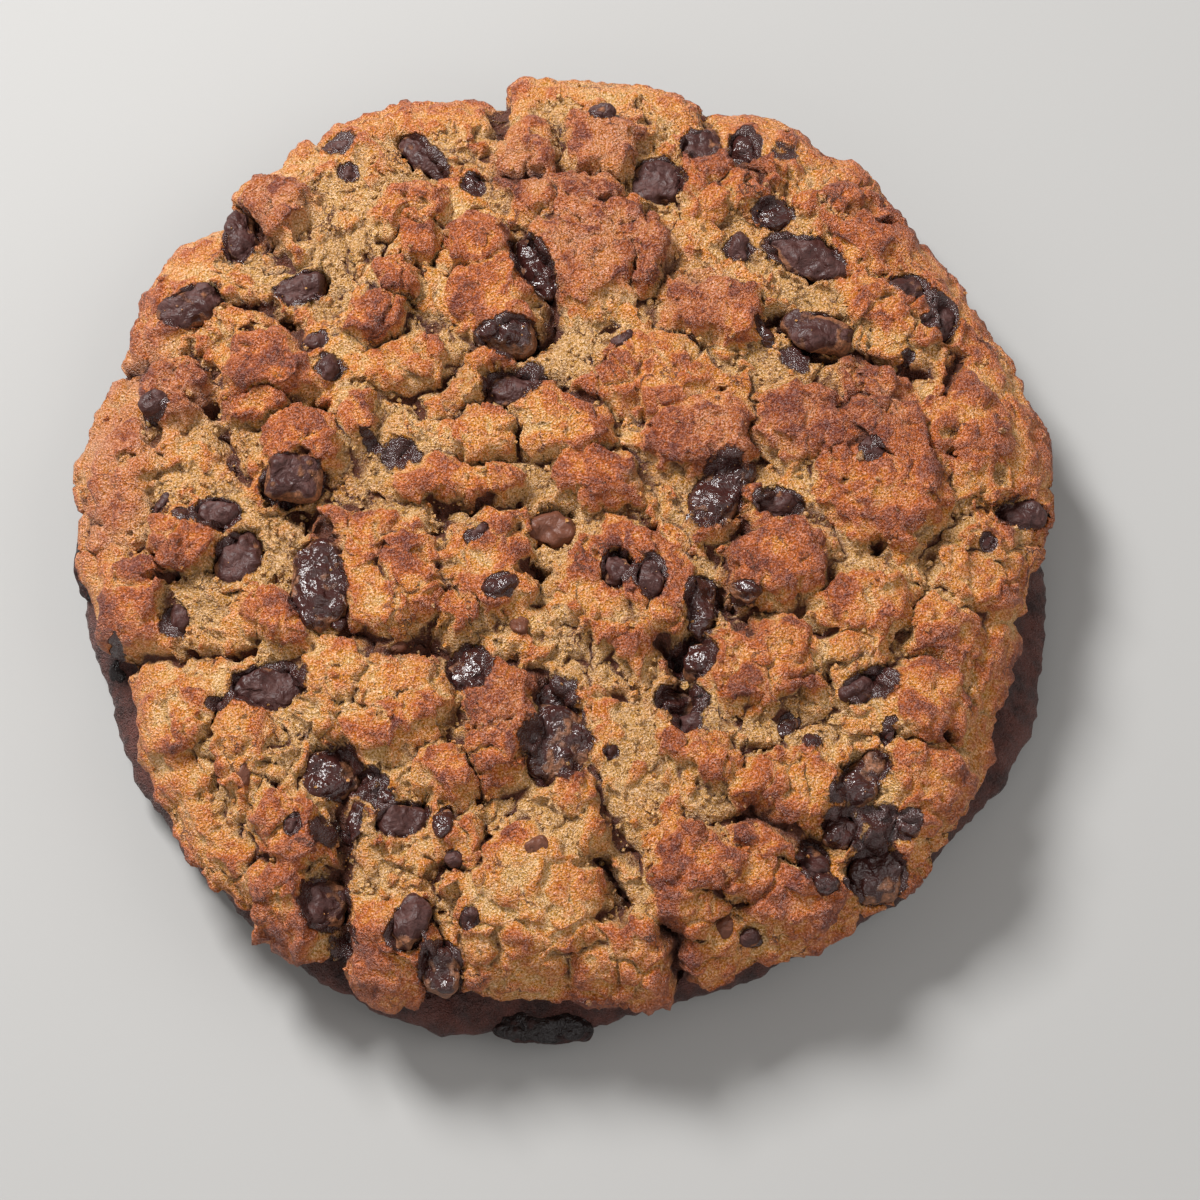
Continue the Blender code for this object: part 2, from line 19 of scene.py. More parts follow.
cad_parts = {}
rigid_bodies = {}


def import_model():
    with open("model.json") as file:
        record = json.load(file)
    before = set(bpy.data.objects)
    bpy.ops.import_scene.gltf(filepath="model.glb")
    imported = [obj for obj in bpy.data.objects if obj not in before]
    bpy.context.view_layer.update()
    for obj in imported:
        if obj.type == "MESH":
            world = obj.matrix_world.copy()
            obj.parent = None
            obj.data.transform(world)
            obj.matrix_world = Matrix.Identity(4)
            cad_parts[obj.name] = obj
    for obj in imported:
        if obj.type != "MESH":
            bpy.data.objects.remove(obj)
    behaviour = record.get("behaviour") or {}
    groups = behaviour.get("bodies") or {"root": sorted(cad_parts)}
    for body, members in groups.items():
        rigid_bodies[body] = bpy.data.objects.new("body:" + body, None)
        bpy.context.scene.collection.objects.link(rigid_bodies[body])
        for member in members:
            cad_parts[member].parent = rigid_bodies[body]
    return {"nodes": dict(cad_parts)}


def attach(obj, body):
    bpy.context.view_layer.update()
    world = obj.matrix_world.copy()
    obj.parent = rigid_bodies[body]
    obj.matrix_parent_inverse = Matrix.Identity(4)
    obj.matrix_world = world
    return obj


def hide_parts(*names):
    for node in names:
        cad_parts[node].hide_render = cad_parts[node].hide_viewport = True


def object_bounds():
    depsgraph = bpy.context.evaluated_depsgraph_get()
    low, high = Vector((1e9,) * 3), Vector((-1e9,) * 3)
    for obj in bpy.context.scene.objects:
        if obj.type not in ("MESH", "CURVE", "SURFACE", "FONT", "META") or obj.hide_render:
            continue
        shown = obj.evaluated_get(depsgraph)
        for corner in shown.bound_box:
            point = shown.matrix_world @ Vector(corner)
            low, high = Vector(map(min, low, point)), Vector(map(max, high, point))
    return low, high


bl_info = {
    "name": "Chocolate Chip Cookie",
    "version": (1, 0, 0),
    "blender": (4, 5, 0),
    "location": "3D Viewport > Sidebar > Cookie",
    "description": "Builds a large craggy chocolate chip cookie round its packed frame",
    "category": "Add Mesh",
}

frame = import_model()
CAD_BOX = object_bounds()

MM = 0.001
ROOT_BODY = "root"

# The tables give the places on the top as the photograph shows them, from its middle. The eye is
# above and in front, so a place lies further forward, and further out at the back, than it looks
PLACE_FORWARD = 8.0
PLACE_LEVEL = 0.00036
PLACE_SPREAD = 0.00041
# A distance that no lump or patch reaches, in its own sizes, and one that no crack reaches, in mm
FAR_SIZES = 9.0
FAR_MM = 1e3

# How the pieces are fitted to the frame's box, in metres
BOX_SHIFT = (-0.0001, 0.0034, 0.0)
BOX_CLEARANCE = 0.000001
CROWN_EASE = 0.0025
# How much a chunk swells to fill its pocket
POCKET_SWELL = 1.05

# Lumps of the top, as shares of their size. The power makes them squarer than an ellipse, at 2
LUMP_REACH = 0.60
LUMP_POWER = 2.3
LUMP_EDGE = 1.12
LUMP_SHOULDER = 0.52
BROWNING_EDGE = 1.2
BROWNING_FADE = 0.5
# Grooves between the lumps: depth in mm, and the rest as shares of a lump's size
GROOVE_DEPTH = 1.5
GROOVE_WIDTH = 0.10
GROOVE_EDGE = 1.25
GROOVE_FADE = 0.2
# Where neighbouring lumps have grown together, and how much of the groove that fills
GROWN_TOGETHER = 0.75
GROOVE_FILL = 0.8
# How far past its half width a crack opens, and how much deeper it cuts
CRACK_WIDENING = 1.15
CRACK_DEEPENING = 1.15

# The grid of the top is crowded towards the rim by this share
GRID_CROWDING = 0.35
# How far down the side the lip, waist, foot, turned edge and flat base are, as shares of its rows,
# and the radius and height of the turned edge
SIDE_PLACES = (0.0, 0.34, 0.62, 0.86, 1.0)
EDGE_SHARE = 0.978
EDGE_HEIGHT = 0.0018
# The side grows rough over the first height above the base, and only the base lies under the other
BASE_FADE = 0.004
LEAST_HEIGHT = 0.00005

# Where the rim begins and over how much it fades in, as shares of the lip's radius
RIM_RANGE = (0.84, 0.12)
# The direction in which the rim bakes smooth, how far round that goes as start and width of the
# cosine, and how smooth the rest of the rim is
SMOOTH_RIM_ANGLE = math.radians(178.0)
SMOOTH_RIM_RANGE = (0.75, 0.2)
SMOOTH_ELSEWHERE = 0.15

# Unevenness of the dough by name: strength, wavelength in metres and seed. The strength is in
# metres where it moves the dough, and a share where it steers something else
UNEVEN = {
    "bend_x": (0.0024, 0.012, 1),
    "bend_y": (0.0024, 0.012, 2),
    "jag_x": (0.0013, 0.0042, 6),
    "jag_y": (0.0013, 0.0042, 7),
    "fine_jag_x": (0.0007, 0.0018, 8),
    "fine_jag_y": (0.0007, 0.0018, 9),
    "lump_edge": (0.13, 0.008, 30),
    "fine_lump_edge": (0.10, 0.0032, 31),
    "grown_together": (2.2, 0.017, 32),
    "crag": (0.0024, 0.0105, 3),
    "small_crag": (0.0018, 0.005, 4),
    "crumb_crest": (0.0004, 0.0028, 25),
    "crust": (1.2, 0.011, 22),
    "small_crust": (0.8, 0.0055, 23),
    "fine_crust": (0.6, 0.0024, 24),
    "seam_place": (1.8, 0.021, 11),
    "grain": (0.00045, 0.0019, 13),
    "fine_grain": (0.00032, 0.0010, 14),
    "pocket_edge": (0.42, 0.0045, 15),
    "fine_pocket_edge": (0.24, 0.0018, 26),
    "lap_place": (1.6, 0.005, 33),
    "foot_swell": (0.0018, 0.013, 5),
    "foot_bump": (0.0016, 0.0085, 16),
    "foot_grain": (0.0006, 0.0020, 17),
    "shear_x": (0.0014, 0.0042, 18),
    "shear_y": (0.0014, 0.0042, 19),
    "fine_shear_x": (0.0006, 0.0016, 27),
    "fine_shear_y": (0.0006, 0.0016, 28),
    "patches": (1.0, 0.0075, 21),
    "broad_tone": (0.12, 0.026, 20),
    "scorch": (1.0, 0.0065, 34),
    "smear_edge": (0.35, 0.0028, 29),
    "dark_foot_and_shade_top": (0.0022, 0.013, 35),
}
# Mean height of a crest's noise, which is taken off so that crags rise and dip alike
CREST_MEAN = 0.22
CRUMB_CREST_MEAN = 0.2
# How far the bumps of the foot are squeezed in height, and how far the shear of the top is
FOOT_SQUEEZE = (1, 1, 1.3)
SHEAR_SQUEEZE = (1, 1, 2)
# Least shear on the side, and how much less of it the smooth rim and the rim have
SIDE_SHEAR = 0.2
SMOOTH_RIM_CALM = 0.7
RIM_CALM = 0.3
# How much less the smooth rim has of the crags
SMOOTH_RIM_PLAIN = 0.6

# Where crust forms: the rise of a lump in metres that counts as 1, and what the rest adds to it
CRUST_RISE = 0.0030
CRUST_BY_TINT = 1.8
CRUST_BY_RIM = 1.1
CRUST_BY_SMOOTH_RIM = 0.8
CRUST_PLAIN = 0.06
# Start and width of the step up to a crust plate, its height in metres, and of its colour
PLATE_RANGE = (0.10, 0.25)
PLATE_HEIGHT = 0.0014
CRUST_COLOUR_RANGE = (-0.35, 1.1)
# How much flatter the crumb is on the crust
CRUST_CALM = 0.45
# Seams between crust plates: cell size in metres, seed, width, share of the top and depth in metres
SEAM_CELL = 0.0085
SEAM_SEED = 10
SEAM_WIDTH = 0.13
SEAM_SHARE = 0.4
SEAM_DEPTH = 0.0014
# Pockets of the chunks: growth in mm, how far out their edge is ragged, and how they are dug
POCKET_GROWTH = 0.3
POCKET_EDGE = -0.6
DIG_RANGE = (0.13, 0.27)
DIG_DEPTH = 0.0032
# Dough that laps a pocket's edge: height in metres, place, width and share of the edge
LAP_HEIGHT = 0.0010
LAP_PLACE = -0.04
LAP_WIDTH = 0.12
LAP_SHARE = 0.4
# Deep holes: growth in mm, how far in they fade to their depth, and the depth in metres
PIT_GROWTH = 0.3
PIT_FADE = 0.5
PIT_DEPTH = 0.0050
# What the whole top is lowered by, so that its relief stays round the frame's dough
TOP_LOWERED = 0.0020
# Painted shade in the hollows, partly melted chocolate in the cracks: how dark each kind of hollow is,
# with the depth of a crack in metres that counts as 1
CRACK_DARK_DEPTH = 0.003
SEAM_DARK = 0.7
GROOVE_DARK = 0.6
PIT_DARK = 1.5
HOLLOW_SHADE_MOST = 1.5

# Melted chocolate: how far it creeps in mm, how quickly it fades in and the most that a stain has
CHUNK_CREEP = 1.3
CHIP_CREEP = 0.6
STAIN_CREEP = 0.5
SMEAR_GAIN = 2.4
STAIN_GAIN = 2.0
STAIN_MOST = 0.75
# Its ragged edge: the least smear that has one, and how much the patches shape it
SMEAR_LEAST = 0.02
SMEAR_PATCHES = 0.35

# Rounds of averaging that tell what stands proud of its near and of its wide surroundings
NEAR_ROUNDS = 6
WIDE_ROUNDS = 50
PROUD_WIDE_MOST = 1.5
PROUD_NEAR_MOST = 0.5
# What makes the browning: a plain share, then crust, lumps, standing proud, patches and the rim
TONE_PLAIN = 0.06
TONE_CRUST = 0.12
TONE_LUMP = 0.40
TONE_LUMP_POWER = 1.4
TONE_WIDE = 0.15
TONE_NEAR = 0.30
TONE_PATCHES = 0.28
TONE_RIM = 0.10
# Scorched patches: where they begin, and how much they add on plain and on well browned crust
SCORCH_RANGE = (0.08, 0.40)
SCORCH_PLAIN = 0.04
SCORCH_BROWNED = 0.50
SCORCH_PROUD = 0.3
# Browning past the first number is eased towards the sum of both
TONE_EASE = (0.62, 0.28)
# Painted shade of the hollows: share of the relief's, and how far below its surroundings a place starts
# to be shaded
HOLLOW_SHADE_SHARE = 0.8
HOLLOW_SHADE_START = -0.45
# Mauve domes: how quickly they fade in, and their growth in mm
MAUVE_GAIN = 1.6
MAUVE_GROWTH = 2.0
# Mean height of the dark band's upper edge, and over how much it fades, in metres: the burnt foot below,
# and painted shade in the waist under the lip above it
FOOT_AND_LIP_SHADE_TOP = 0.0142
FOOT_AND_LIP_SHADE_FADE = 0.0024

# Mottling of the dough in waves a metre, from large to small, and of its holes
COARSE_SCALE = 170.0
FINE_SCALE = 800.0
GRAIN_SCALE = 2400.0
HOLE_SCALE = 950.0
# Places of the golden and the brown crust between the pale and the dark one
GOLDEN_PLACE = 0.34
BROWN_PLACE = 0.66
# Most that the mauve, the open crumb and its holes cover
MAUVE_MOST = 0.72
OPEN_CRUMB_MOST = 0.75
HOLE_MOST = 0.8
# Brightness and saturation of the single grains, each as a slope and a start: mottling of the crumb, with
# the brightest grains washed towards white as painted sugar glints
GRAIN_MOTTLE_AND_GLINT = (2.3, -0.14)
GRAIN_SATURATION_AND_GLINT = (-1.5, 1.78)
# Roughness of the dough: moist grains and the start, and what a smear takes off
DOUGH_MATT = (0.44, 0.31)
SMEAR_GLOSS = 0.30
DOUGH_SPECULAR = 0.6
# Height of each mottling in metres, and how much flatter a smear is
FINE_BUMP = 0.0013
COARSE_BUMP = 0.0008
GRAIN_BUMP = 0.0014
SMEAR_CALM = 0.75
# Hair cracks in waves a metre: their bends and how far they bend in metres, their cells and places
CRACK_BEND_SCALE = 330.0
CRACK_BEND = 0.0075
CRACK_CELL_SCALE = 135.0
CRACK_PLACE_SCALE = 90.0

# Finishes of the chocolate: name of the material
FINISHES = {
    "glossy": "glossy_chocolate",
    "dull": "dull_chocolate",
    "milk": "satin_milk_chocolate",
    "burnt": "bubbly_burnt_chocolate",
}
# The record's material slot of each finish
SLOTS = {
    "glossy": "chocolate",
    "dull": "chocolate",
    "milk": "milk_chocolate",
    "burnt": "burnt_chocolate",
}
# Their roughness, gloss, share of bloom and depth of the ripples in metres
CHOCOLATE_LOOKS = {
    "glossy": (0.15, 0.55, 0.1, 0.0012),
    "dull": (0.40, 0.3, 0.6, 0.0010),
    "milk": (0.45, 0.25, 0.1, 0.0008),
    "burnt": (0.25, 0.3, 0.1, 0.0016),
}
# Patches of bloom, specks and ripples in waves a metre
BLOOM_SCALE = 220.0
SPECK_SCALE = 1300.0
RIPPLE_SCALE = 420.0
# Where bloom starts and where it is whole, and how much sooner both come with a full share of bloom
BLOOM_START = 0.62
BLOOM_WHOLE = 0.80
BLOOM_START_SOONER = 0.4
BLOOM_WHOLE_SOONER = 0.3
# Stuck crumb and bloom: how matt they are, the crumb's height in metres, the depth of specks as a
# share of the ripples', and how dark the crumb's shaded spots are
FILM_MATT = 0.35
FILM_BUMP = 0.0003
SPECK_BUMP = 0.15
SHADED_CRUMB = 0.45

# Unevenness of the chunks, the burnt drips and the chips: wavelength and depth in metres, first seed
CHUNK_UNEVEN = (0.0046, 0.0015, 30)
BURNT_UNEVEN = (0.004, 0.0010, 90)
CHIP_UNEVEN = (0.0032, 0.0011, 200)
# Finer swellings on them, as a share of both, and what their seed has more
FINER_SHARE = 0.4
FINER_SEED = 50
# Dough stuck to the chocolate: share for each mm below its top, patches as strength, wavelength in
# metres and what the seed has more, and the start
FILM_BELOW_TOP = 0.40
FILM_PATCHES = ((0.9, 0.0042, 0), (0.8, 0.0015, 7))
FILM_START = 0.78
# Small chips: thickness as a share of the narrower side and in mm, how upright they stand, and
# how much of the thickness is sunk
CHIP_THICKNESS_SHARE = 0.62
CHIP_THICKNESS = 0.8
CHIP_UPRIGHT = 0.4
CHIP_SUNK = 0.30

# Loose crumbs: seed, lowest place in metres, steepest ground, and the smear that is chocolate
CRUMB_SEED = 11
CRUMB_LOWEST = 0.012
CRUMB_STEEPEST = 0.3
CHOCOLATE_SMEAR = 0.3
# Share that stays on chocolate, share that crust sheds, and their size on chocolate
STAYS_ON_CHOCOLATE = 0.07
SHED_BY_CRUST = 0.93
SIZE_ON_CHOCOLATE = 0.6
# Least and most stretch of a crumb and of its corners, the most turn and how far its middle lies
# above the ground as a share of its size
CRUMB_STRETCH = (0.7, 1.2)
CORNER_STRETCH = (0.55, 1.35)
CRUMB_TURN = 6.3
CRUMB_RAISED = 0.15
# Browning of a crumb on chocolate, and how far each one strays from the ground's
TONE_ON_CHOCOLATE = 0.25
TONE_STRAY = 0.12
# Height in metres that a ray down to the ground starts from
RAY_START = 0.1

# Mottling of the floor in waves a metre, and how bright its darker patches are beside the rest
FLOOR_SCALE = 6.0
FLOOR_SHADE = 0.97
# Lights: name, place in metres, size in metres, power in watts
LIGHTS = (
    ("key_light", (-0.50, 0.60, 0.85), 0.36, 24.0),
    ("fill_light", (0.8, -0.1, 0.8), 0.9, 4.0),
    ("front_light", (-0.2, -0.9, 0.6), 0.9, 3.0),
)

# Section of the plain top: share of the lip's radius, share of the rise from the lip to the crown
SECTION_TOP = (
    (0.00, 1.000),
    (0.30, 0.985),
    (0.55, 0.945),
    (0.72, 0.870),
    (0.83, 0.750),
    (0.90, 0.600),
    (0.95, 0.420),
    (0.985, 0.200),
    (1.00, 0.000),
)

# What the lip's radius has more than the mean in mm, counter-clockwise from +X in degrees
LIP_OUTLINE = (
    (2, 0), (6, 1.5), (12, 0.5), (16, -1), (21, -2), (27, -3.5), (36, -2.5), (41, -4),
    (46, -1.5), (51, 1.5), (55, -1), (61, 0.5), (66, 0), (71, -3), (77, -0.5), (91, 0),
    (96, 0), (99, -4.5), (103, -2.5), (110, 0), (118, 1), (127, -1), (134, 0.5),
    (138, -3.5), (143, 0), (149, 0), (154, -3.5), (162, -2.5), (169, -1.5), (174, 0.5),
    (181, -2), (185, -1), (192, -4), (198, -7.5), (205, -6.5), (211, -4), (217, -1),
    (228, 3), (238, 2), (250, 3), (259, -1), (269, -0.5), (274, -1.5), (280, 0), (287, 2),
    (292, 1), (303, 3), (305, 1.5), (313, 3.5), (322, 0.5), (329, 0), (333, -3), (338, -7),
    (348, -6), (357, -3),
)
# What the foot's radius has more than its mean in mm, from the same start
FOOT_OUTLINE = (
    (0, -2), (30, -4), (60, -1), (90, -2), (120, 0), (150, -3), (175, -2), (190, -1.5),
    (203, -2), (214, 0.5), (227, 1.5), (238, 3), (246, 6), (256, 6), (264, 4.5), (271, 4),
    (280, 1.5), (288, -0.5), (307, 1), (315, 2), (337, 3), (351, 0),
)

# Lumps of the top in mm: x, y, length, width, turn in degrees, rise, browning
LUMPS = (
    (5, 61, 23, 24, 0, 4.0, 0.7), (5, 73, 13, 7, 0, 4.0, 0.9), (9, 84, 14, 14, 0, 3.5, 0.7),
    (-7, 78, 12, 21, 0, 3.0, 0.6), (17, 60, 7, 16, 0, 4.5, 1.0), (-58, 71, 16, 13, 20, 4.0, 0.8),
    (-57, 36, 18, 13, 0, 5.0, 0.9), (-38, 46, 11, 9, 0, 3.5, 0.9), (-77, 31, 12, 12, 0, 4.0, 0.9),
    (-62, 26, 13, 6, 20, 3.0, 0.7), (-51, 18, 14, 14, 30, 5.0, 0.9), (-40, 24, 7, 10, 0, 3.5, 0.7),
    (-17, 61, 11, 11, 0, 4.0, 0.9), (-33, 54, 10, 10, 0, 4.0, 0.9), (-29, 62, 9, 8, 0, 3.5, 0.8),
    (-30, 70, 12, 9, 0, 3.5, 0.7), (-14, 50, 14, 18, 10, 4.5, 0.8), (-17, 32, 15, 8, 45, 3.0, 0.2),
    (10, 31, 13, 10, 0, 3.0, 0.6), (18, 34, 20, 14, -20, 3.0, 0.4), (-36, -9, 24, 25, 0, 4.5, 0.6),
    (-38, -35, 25, 22, 0, 4.0, 0.3), (-15, -7, 18, 20, 0, 3.5, 0.5), (-21, -17, 9, 8, 0, 3.0, 0.8),
    (-16, 21, 12, 11, 0, 4.5, 0.6), (-1, 22, 18, 14, 0, 4.5, 0.7), (6, 11, 16, 12, 0, 3.5, 0.8),
    (-22, 10, 23, 9, 0, 3.5, 0.6), (13, -13, 27, 24, 0, 3.5, 0.6), (27, 20, 20, 16, 0, 4.5, 0.9),
    (31, 47, 16, 12, 0, 3.5, 0.9), (43, -6, 19, 15, 5, 5.5, 1.0), (47, 23, 16, 15, 0, 4.0, 0.8),
    (61, 32, 15, 11, 0, 3.0, 0.8), (63, 16, 22, 32, 10, 4.5, 0.9), (40, -28, 20, 16, 0, 4.0, 0.8),
    (-12, -40, 13, 24, 0, 4.0, 0.8), (-22, -51, 12, 10, 0, 3.5, 0.6), (-20, -66, 11, 11, 0, 3.5, 0.5),
    (-56, -18, 15, 9, -30, 3.5, 0.7), (-75, -2, 13, 11, 0, 3.5, 0.6), (-86, -13, 12, 16, 0, 3.5, 0.6),
    (-77, -38, 14, 14, 0, 3.5, 0.3), (-63, -45, 9, 18, 0, 3.5, 0.6), (-54, -62, 14, 14, 0, 4.0, 0.7),
    (-55, -77, 11, 22, 15, 4.5, 0.6), (-33, -88, 19, 17, 0, 4.0, 0.5), (-8, -77, 28, 26, 0, 3.5, 0.4),
    (15, -88, 22, 15, 0, 3.5, 0.5), (27, -70, 17, 14, 0, 4.5, 0.9), (37, -72, 12, 11, 0, 3.5, 0.8),
    (25, -78, 13, 9, 0, 3.5, 0.7), (47, -76, 19, 12, 0, 3.5, 0.6), (46, -53, 21, 15, 0, 3.5, 0.4),
    (41, -63, 15, 9, 0, 3.0, 0.6), (27, -47, 19, 8, -30, 3.0, 0.6), (73, -51, 15, 16, 0, 4.0, 0.6),
    (72, -35, 15, 14, 0, 4.0, 0.6), (-44, -2, 8, 12, 0, 3.0, 0.6), (-31, 36, 14, 10, 20, 2.5, 0.3),
    (33, 75, 20, 12, 0, 2.5, 0.6), (60, 68, 20, 14, -35, 2.5, 0.6), (80, 24, 16, 22, 0, 2.5, 0.7),
    (-80, 50, 12, 16, -30, 2.5, 0.7), (-88, 14, 12, 20, 0, 2.0, 0.7), (66, 48, 20, 10, -20, 2.5, 0.5),
    (84, -5, 14, 18, 0, 2.5, 0.5), (2, -60, 16, 14, 0, 2.0, 0.2), (33, 4, 20, 10, 20, 2.0, 0.6),
    (60, -15, 17, 13, 15, 3.5, 0.7), (76, -20, 15, 14, -10, 3.0, 0.5), (89, -24, 10, 14, 0, 2.5, 0.6),
    (58, -26, 12, 8, 0, 2.5, 0.4),
)

# Cracks in mm: depth, half width, then the points that each one runs through
CRACKS = (
    (4.0, 1.6, (-65, 50), (-55, 45), (-50, 39)),
    (3.0, 1.4, (-73, 30), (-67, 24)),
    (3.0, 1.3, (-68, 20), (-62, 13)),
    (3.5, 1.6, (-53, 4), (-45, -1), (-44, -12), (-43, -22), (-34, -25), (-23, -25), (-17, -29)),
    (2.5, 1.3, (-88, -23), (-78, -26), (-63, -24)),
    (2.5, 1.2, (-25, 5), (-8, 5)),
    (3.5, 1.5, (-10, -26), (-3, -33), (0, -38)),
    (3.0, 1.8, (5, -46), (8, -53), (14, -68)),
    (4.5, 1.8, (-43, -46), (-42, -65), (-45, -77), (-43, -88)),
    (4.5, 1.8, (-32, 87), (-23, 78)),
    (5.0, 1.8, (-10, 62), (-3, 51), (-2, 45), (-8, 38)),
    (2.5, 1.3, (-2, 32), (7, 27)),
    (3.0, 1.3, (-13, 79), (-4, 76)),
    (5.0, 1.6, (43, 45), (50, 38), (64, 37), (73, 36)),
    (3.5, 1.5, (80, 41), (76, 30)),
    (3.5, 1.6, (37, -58), (45, -61), (50, -64)),
    (5.0, 1.7, (9, -69), (12, -79)),
    (5.0, 1.7, (21, -82), (25, -92), (27, -100)),
    (3.5, 1.5, (20, -24), (26, -31), (24, -42)),
    (3.0, 1.6, (36, 2), (34, -8), (34, -16), (38, -20)),
    (3.0, 1.5, (-72, 84), (-67, 70), (-55, 58)),
    (3.0, 1.5, (-93, 41), (-84, 36)),
    (3.0, 1.5, (-14, 100), (-13, 88)),
    (3.0, 1.5, (30, 96), (31, 84), (39, 76)),
)

# Pockets of the chocolate chunks in mm: node, x, y, length, width, turn in degrees, finish
CHUNKS = (
    ("chunk_rim_left_tall", -65, 66, 14.5, 6.5, 100, "dull"),
    ("chunk_rim_left_grey", -74, 50, 14.5, 7.5, 30, "dull"),
    ("chunk_left_bent", -52, 53, 11, 7.5, 10, "dull"),
    ("chunk_back_slant", -28, 83, 15, 5.5, -45, "dull"),
    ("chunk_crack_glossy", -6, 57, 16, 7.5, -60, "glossy"),
    ("chunk_back_square", 19, 76, 11, 11.5, 0, "dull"),
    ("chunk_deep_dark", -10, 41, 10.5, 9, 15, "glossy"),
    ("chunk_crumbly_middle", -10, 30.5, 13.5, 8, 0, "dull"),
    ("chunk_left_dark", -53, 10.5, 13, 10, 0, "dull"),
    ("chunk_left_small", -68, 4.5, 9, 7.5, 0, "dull"),
    ("chunk_left_crumbly", -64, -4.5, 13, 8.5, 55, "dull"),
    ("chunk_left_glossy", -48, -12, 20.5, 11, 95, "glossy"),
    ("chunk_middle_wet", -18, -29, 10.5, 10, 70, "glossy"),
    ("chunk_lobe_left", 11, -9, 8, 6, 90, "dull"),
    ("chunk_lobe_right", 17.5, -11.5, 9.5, 5.5, 80, "dull"),
    ("chunk_centre_glossy", 28, -15.5, 12, 6.5, 85, "glossy"),
    ("chunk_centre_crumbly", 27, -26.5, 8, 7, 80, "glossy"),
    ("chunk_centre_wet", 24, -35, 11, 6, 0, "glossy"),
    ("chunk_back_sparkle", 42, 69, 9, 6, 0, "glossy"),
    ("chunk_back_large", 48, 60, 18, 9, -20, "dull"),
    ("chunk_back_upright", 28, 85, 10, 8, 80, "dull"),
    ("chunk_back_black", 36.5, 85, 9.5, 7, 80, "glossy"),
    ("chunk_right_small", 69, 54, 8.5, 6.5, 20, "dull"),
    ("chunk_right_tall", 76.5, 49, 11, 6, 100, "dull"),
    ("chunk_right_pocket", 51, 43.5, 15, 8.5, -10, "dull"),
    ("chunk_curved_glossy", 31, 7.5, 19.5, 10, 65, "glossy"),
    ("chunk_beside_curved", 43, 6, 10.5, 6, 0, "dull"),
    ("chunk_rim_right", 92, 7, 10.5, 6, 10, "dull"),
    ("chunk_front_right_long", 60, -51, 14, 7.5, 50, "glossy"),
    ("chunk_front_right_low", 56, -61.5, 7.5, 7, 0, "glossy"),
    ("chunk_front_right_rim", 50, -68, 9, 6, 90, "dull"),
    ("chunk_front_right_black", 63, -69.5, 12.5, 11, 20, "glossy"),
    ("chunk_front_left_glossy", -45, -50, 12, 11, 10, "glossy"),
    ("chunk_front_left_dull", -47, -76, 10, 11, 0, "dull"),
    ("chunk_front_ring", -30, -82, 11.5, 7, 60, "dull"),
    ("chunk_front_crumbly", -24, -90, 10, 8, 100, "glossy"),
    ("chunk_front_middle", -1, -45, 17.5, 15, 70, "glossy"),
    ("chunk_front_arc", -31, -60, 11.5, 6.5, 10, "dull"),
    ("chunk_left_broad", -58, -32, 18.5, 10, 5, "dull"),
    ("chunk_milk_centre", -2, 1, 12.5, 7, 0, "milk"),
)
SIDE_CHUNKS = ("chunk_burnt_left", "chunk_burnt_front")

# Small chocolate in mm: x, y, length, width, turn in degrees, finish
CHIPS = (
    (-45, 86, 7, 3.6, 10, "dull"), (-43, 79, 5, 4.4, 40, "dull"), (-18, 75, 7, 2.6, 100, "glossy"),
    (-15, 41, 6, 4.0, 20, "glossy"), (-32, 16, 9, 2.4, 10, "glossy"), (-38, 19, 6, 2.2, -50, "glossy"),
    (-81, 27, 6, 5.5, 60, "dull"), (-75, 4, 4.6, 3.6, 0, "dull"), (-80, 7, 6, 1.8, 60, "dull"),
    (-12, -13, 7.5, 5, 15, "glossy"), (-17, -2, 7, 2.6, 40, "dull"), (25, -40, 8, 5, 20, "dull"),
    (36, -14, 6, 4, 0, "glossy"), (8, 90, 6, 3.4, 0, "dull"), (35, 61, 7.4, 4.4, 80, "dull"),
    (73, 46, 3.2, 3, 0, "dull"), (69, 39, 3, 2.4, 30, "dull"), (40, 43, 7, 2.2, -60, "glossy"),
    (45, 39, 5, 2, 10, "glossy"), (61, 16, 6, 4.5, 80, "dull"), (85, -1, 4, 4, 0, "glossy"),
    (53, -73, 5.5, 4, 20, "glossy"), (58, -72, 3.2, 3, 0, "glossy"), (50, -44, 3.6, 3.4, 0, "glossy"),
    (45, -40, 5.4, 3.4, 60, "glossy"), (59, -33, 7, 5, 20, "dull"), (65, -41, 6, 2.4, 80, "glossy"),
    (-41, -60, 8, 3.4, 80, "glossy"), (-18, -81, 4.4, 3, 80, "dull"), (-2, -34, 8, 5.5, 60, "glossy"),
    (10, -46, 3.4, 3, 0, "dull"), (-35, -56, 5, 3.6, 0, "glossy"), (-38, -51, 5, 2.6, 30, "glossy"),
    (-23, -61, 7, 3.4, 80, "glossy"), (-21, -69, 3, 3, 0, "dull"), (-77, -17, 7, 4.6, 80, "dull"),
    (-46, 35, 6, 4, 80, "dull"), (-49, 41, 5.6, 4, 10, "dull"), (38, -83, 5, 3.6, 0, "dull"),
    (-90, -22, 6, 3.6, 80, "burnt"), (-8, -19, 5.4, 3.4, 80, "milk"), (-33, -25, 5, 3, 20, "milk"),
    (-63, -51, 7, 3.4, 85, "milk"), (-5, -67, 4.4, 4, 0, "milk"), (32, -81, 5, 4.6, 0, "milk"),
    (-53, -62, 5, 3, 70, "dull"), (12, 40, 4.6, 2.4, 30, "dull"), (-68, -36, 5, 3, 0, "dull"),
    (69, -60, 7, 5, 40, "glossy"), (55, -55, 5, 4, 60, "glossy"), (-44, -18, 5, 4, 80, "glossy"),
)

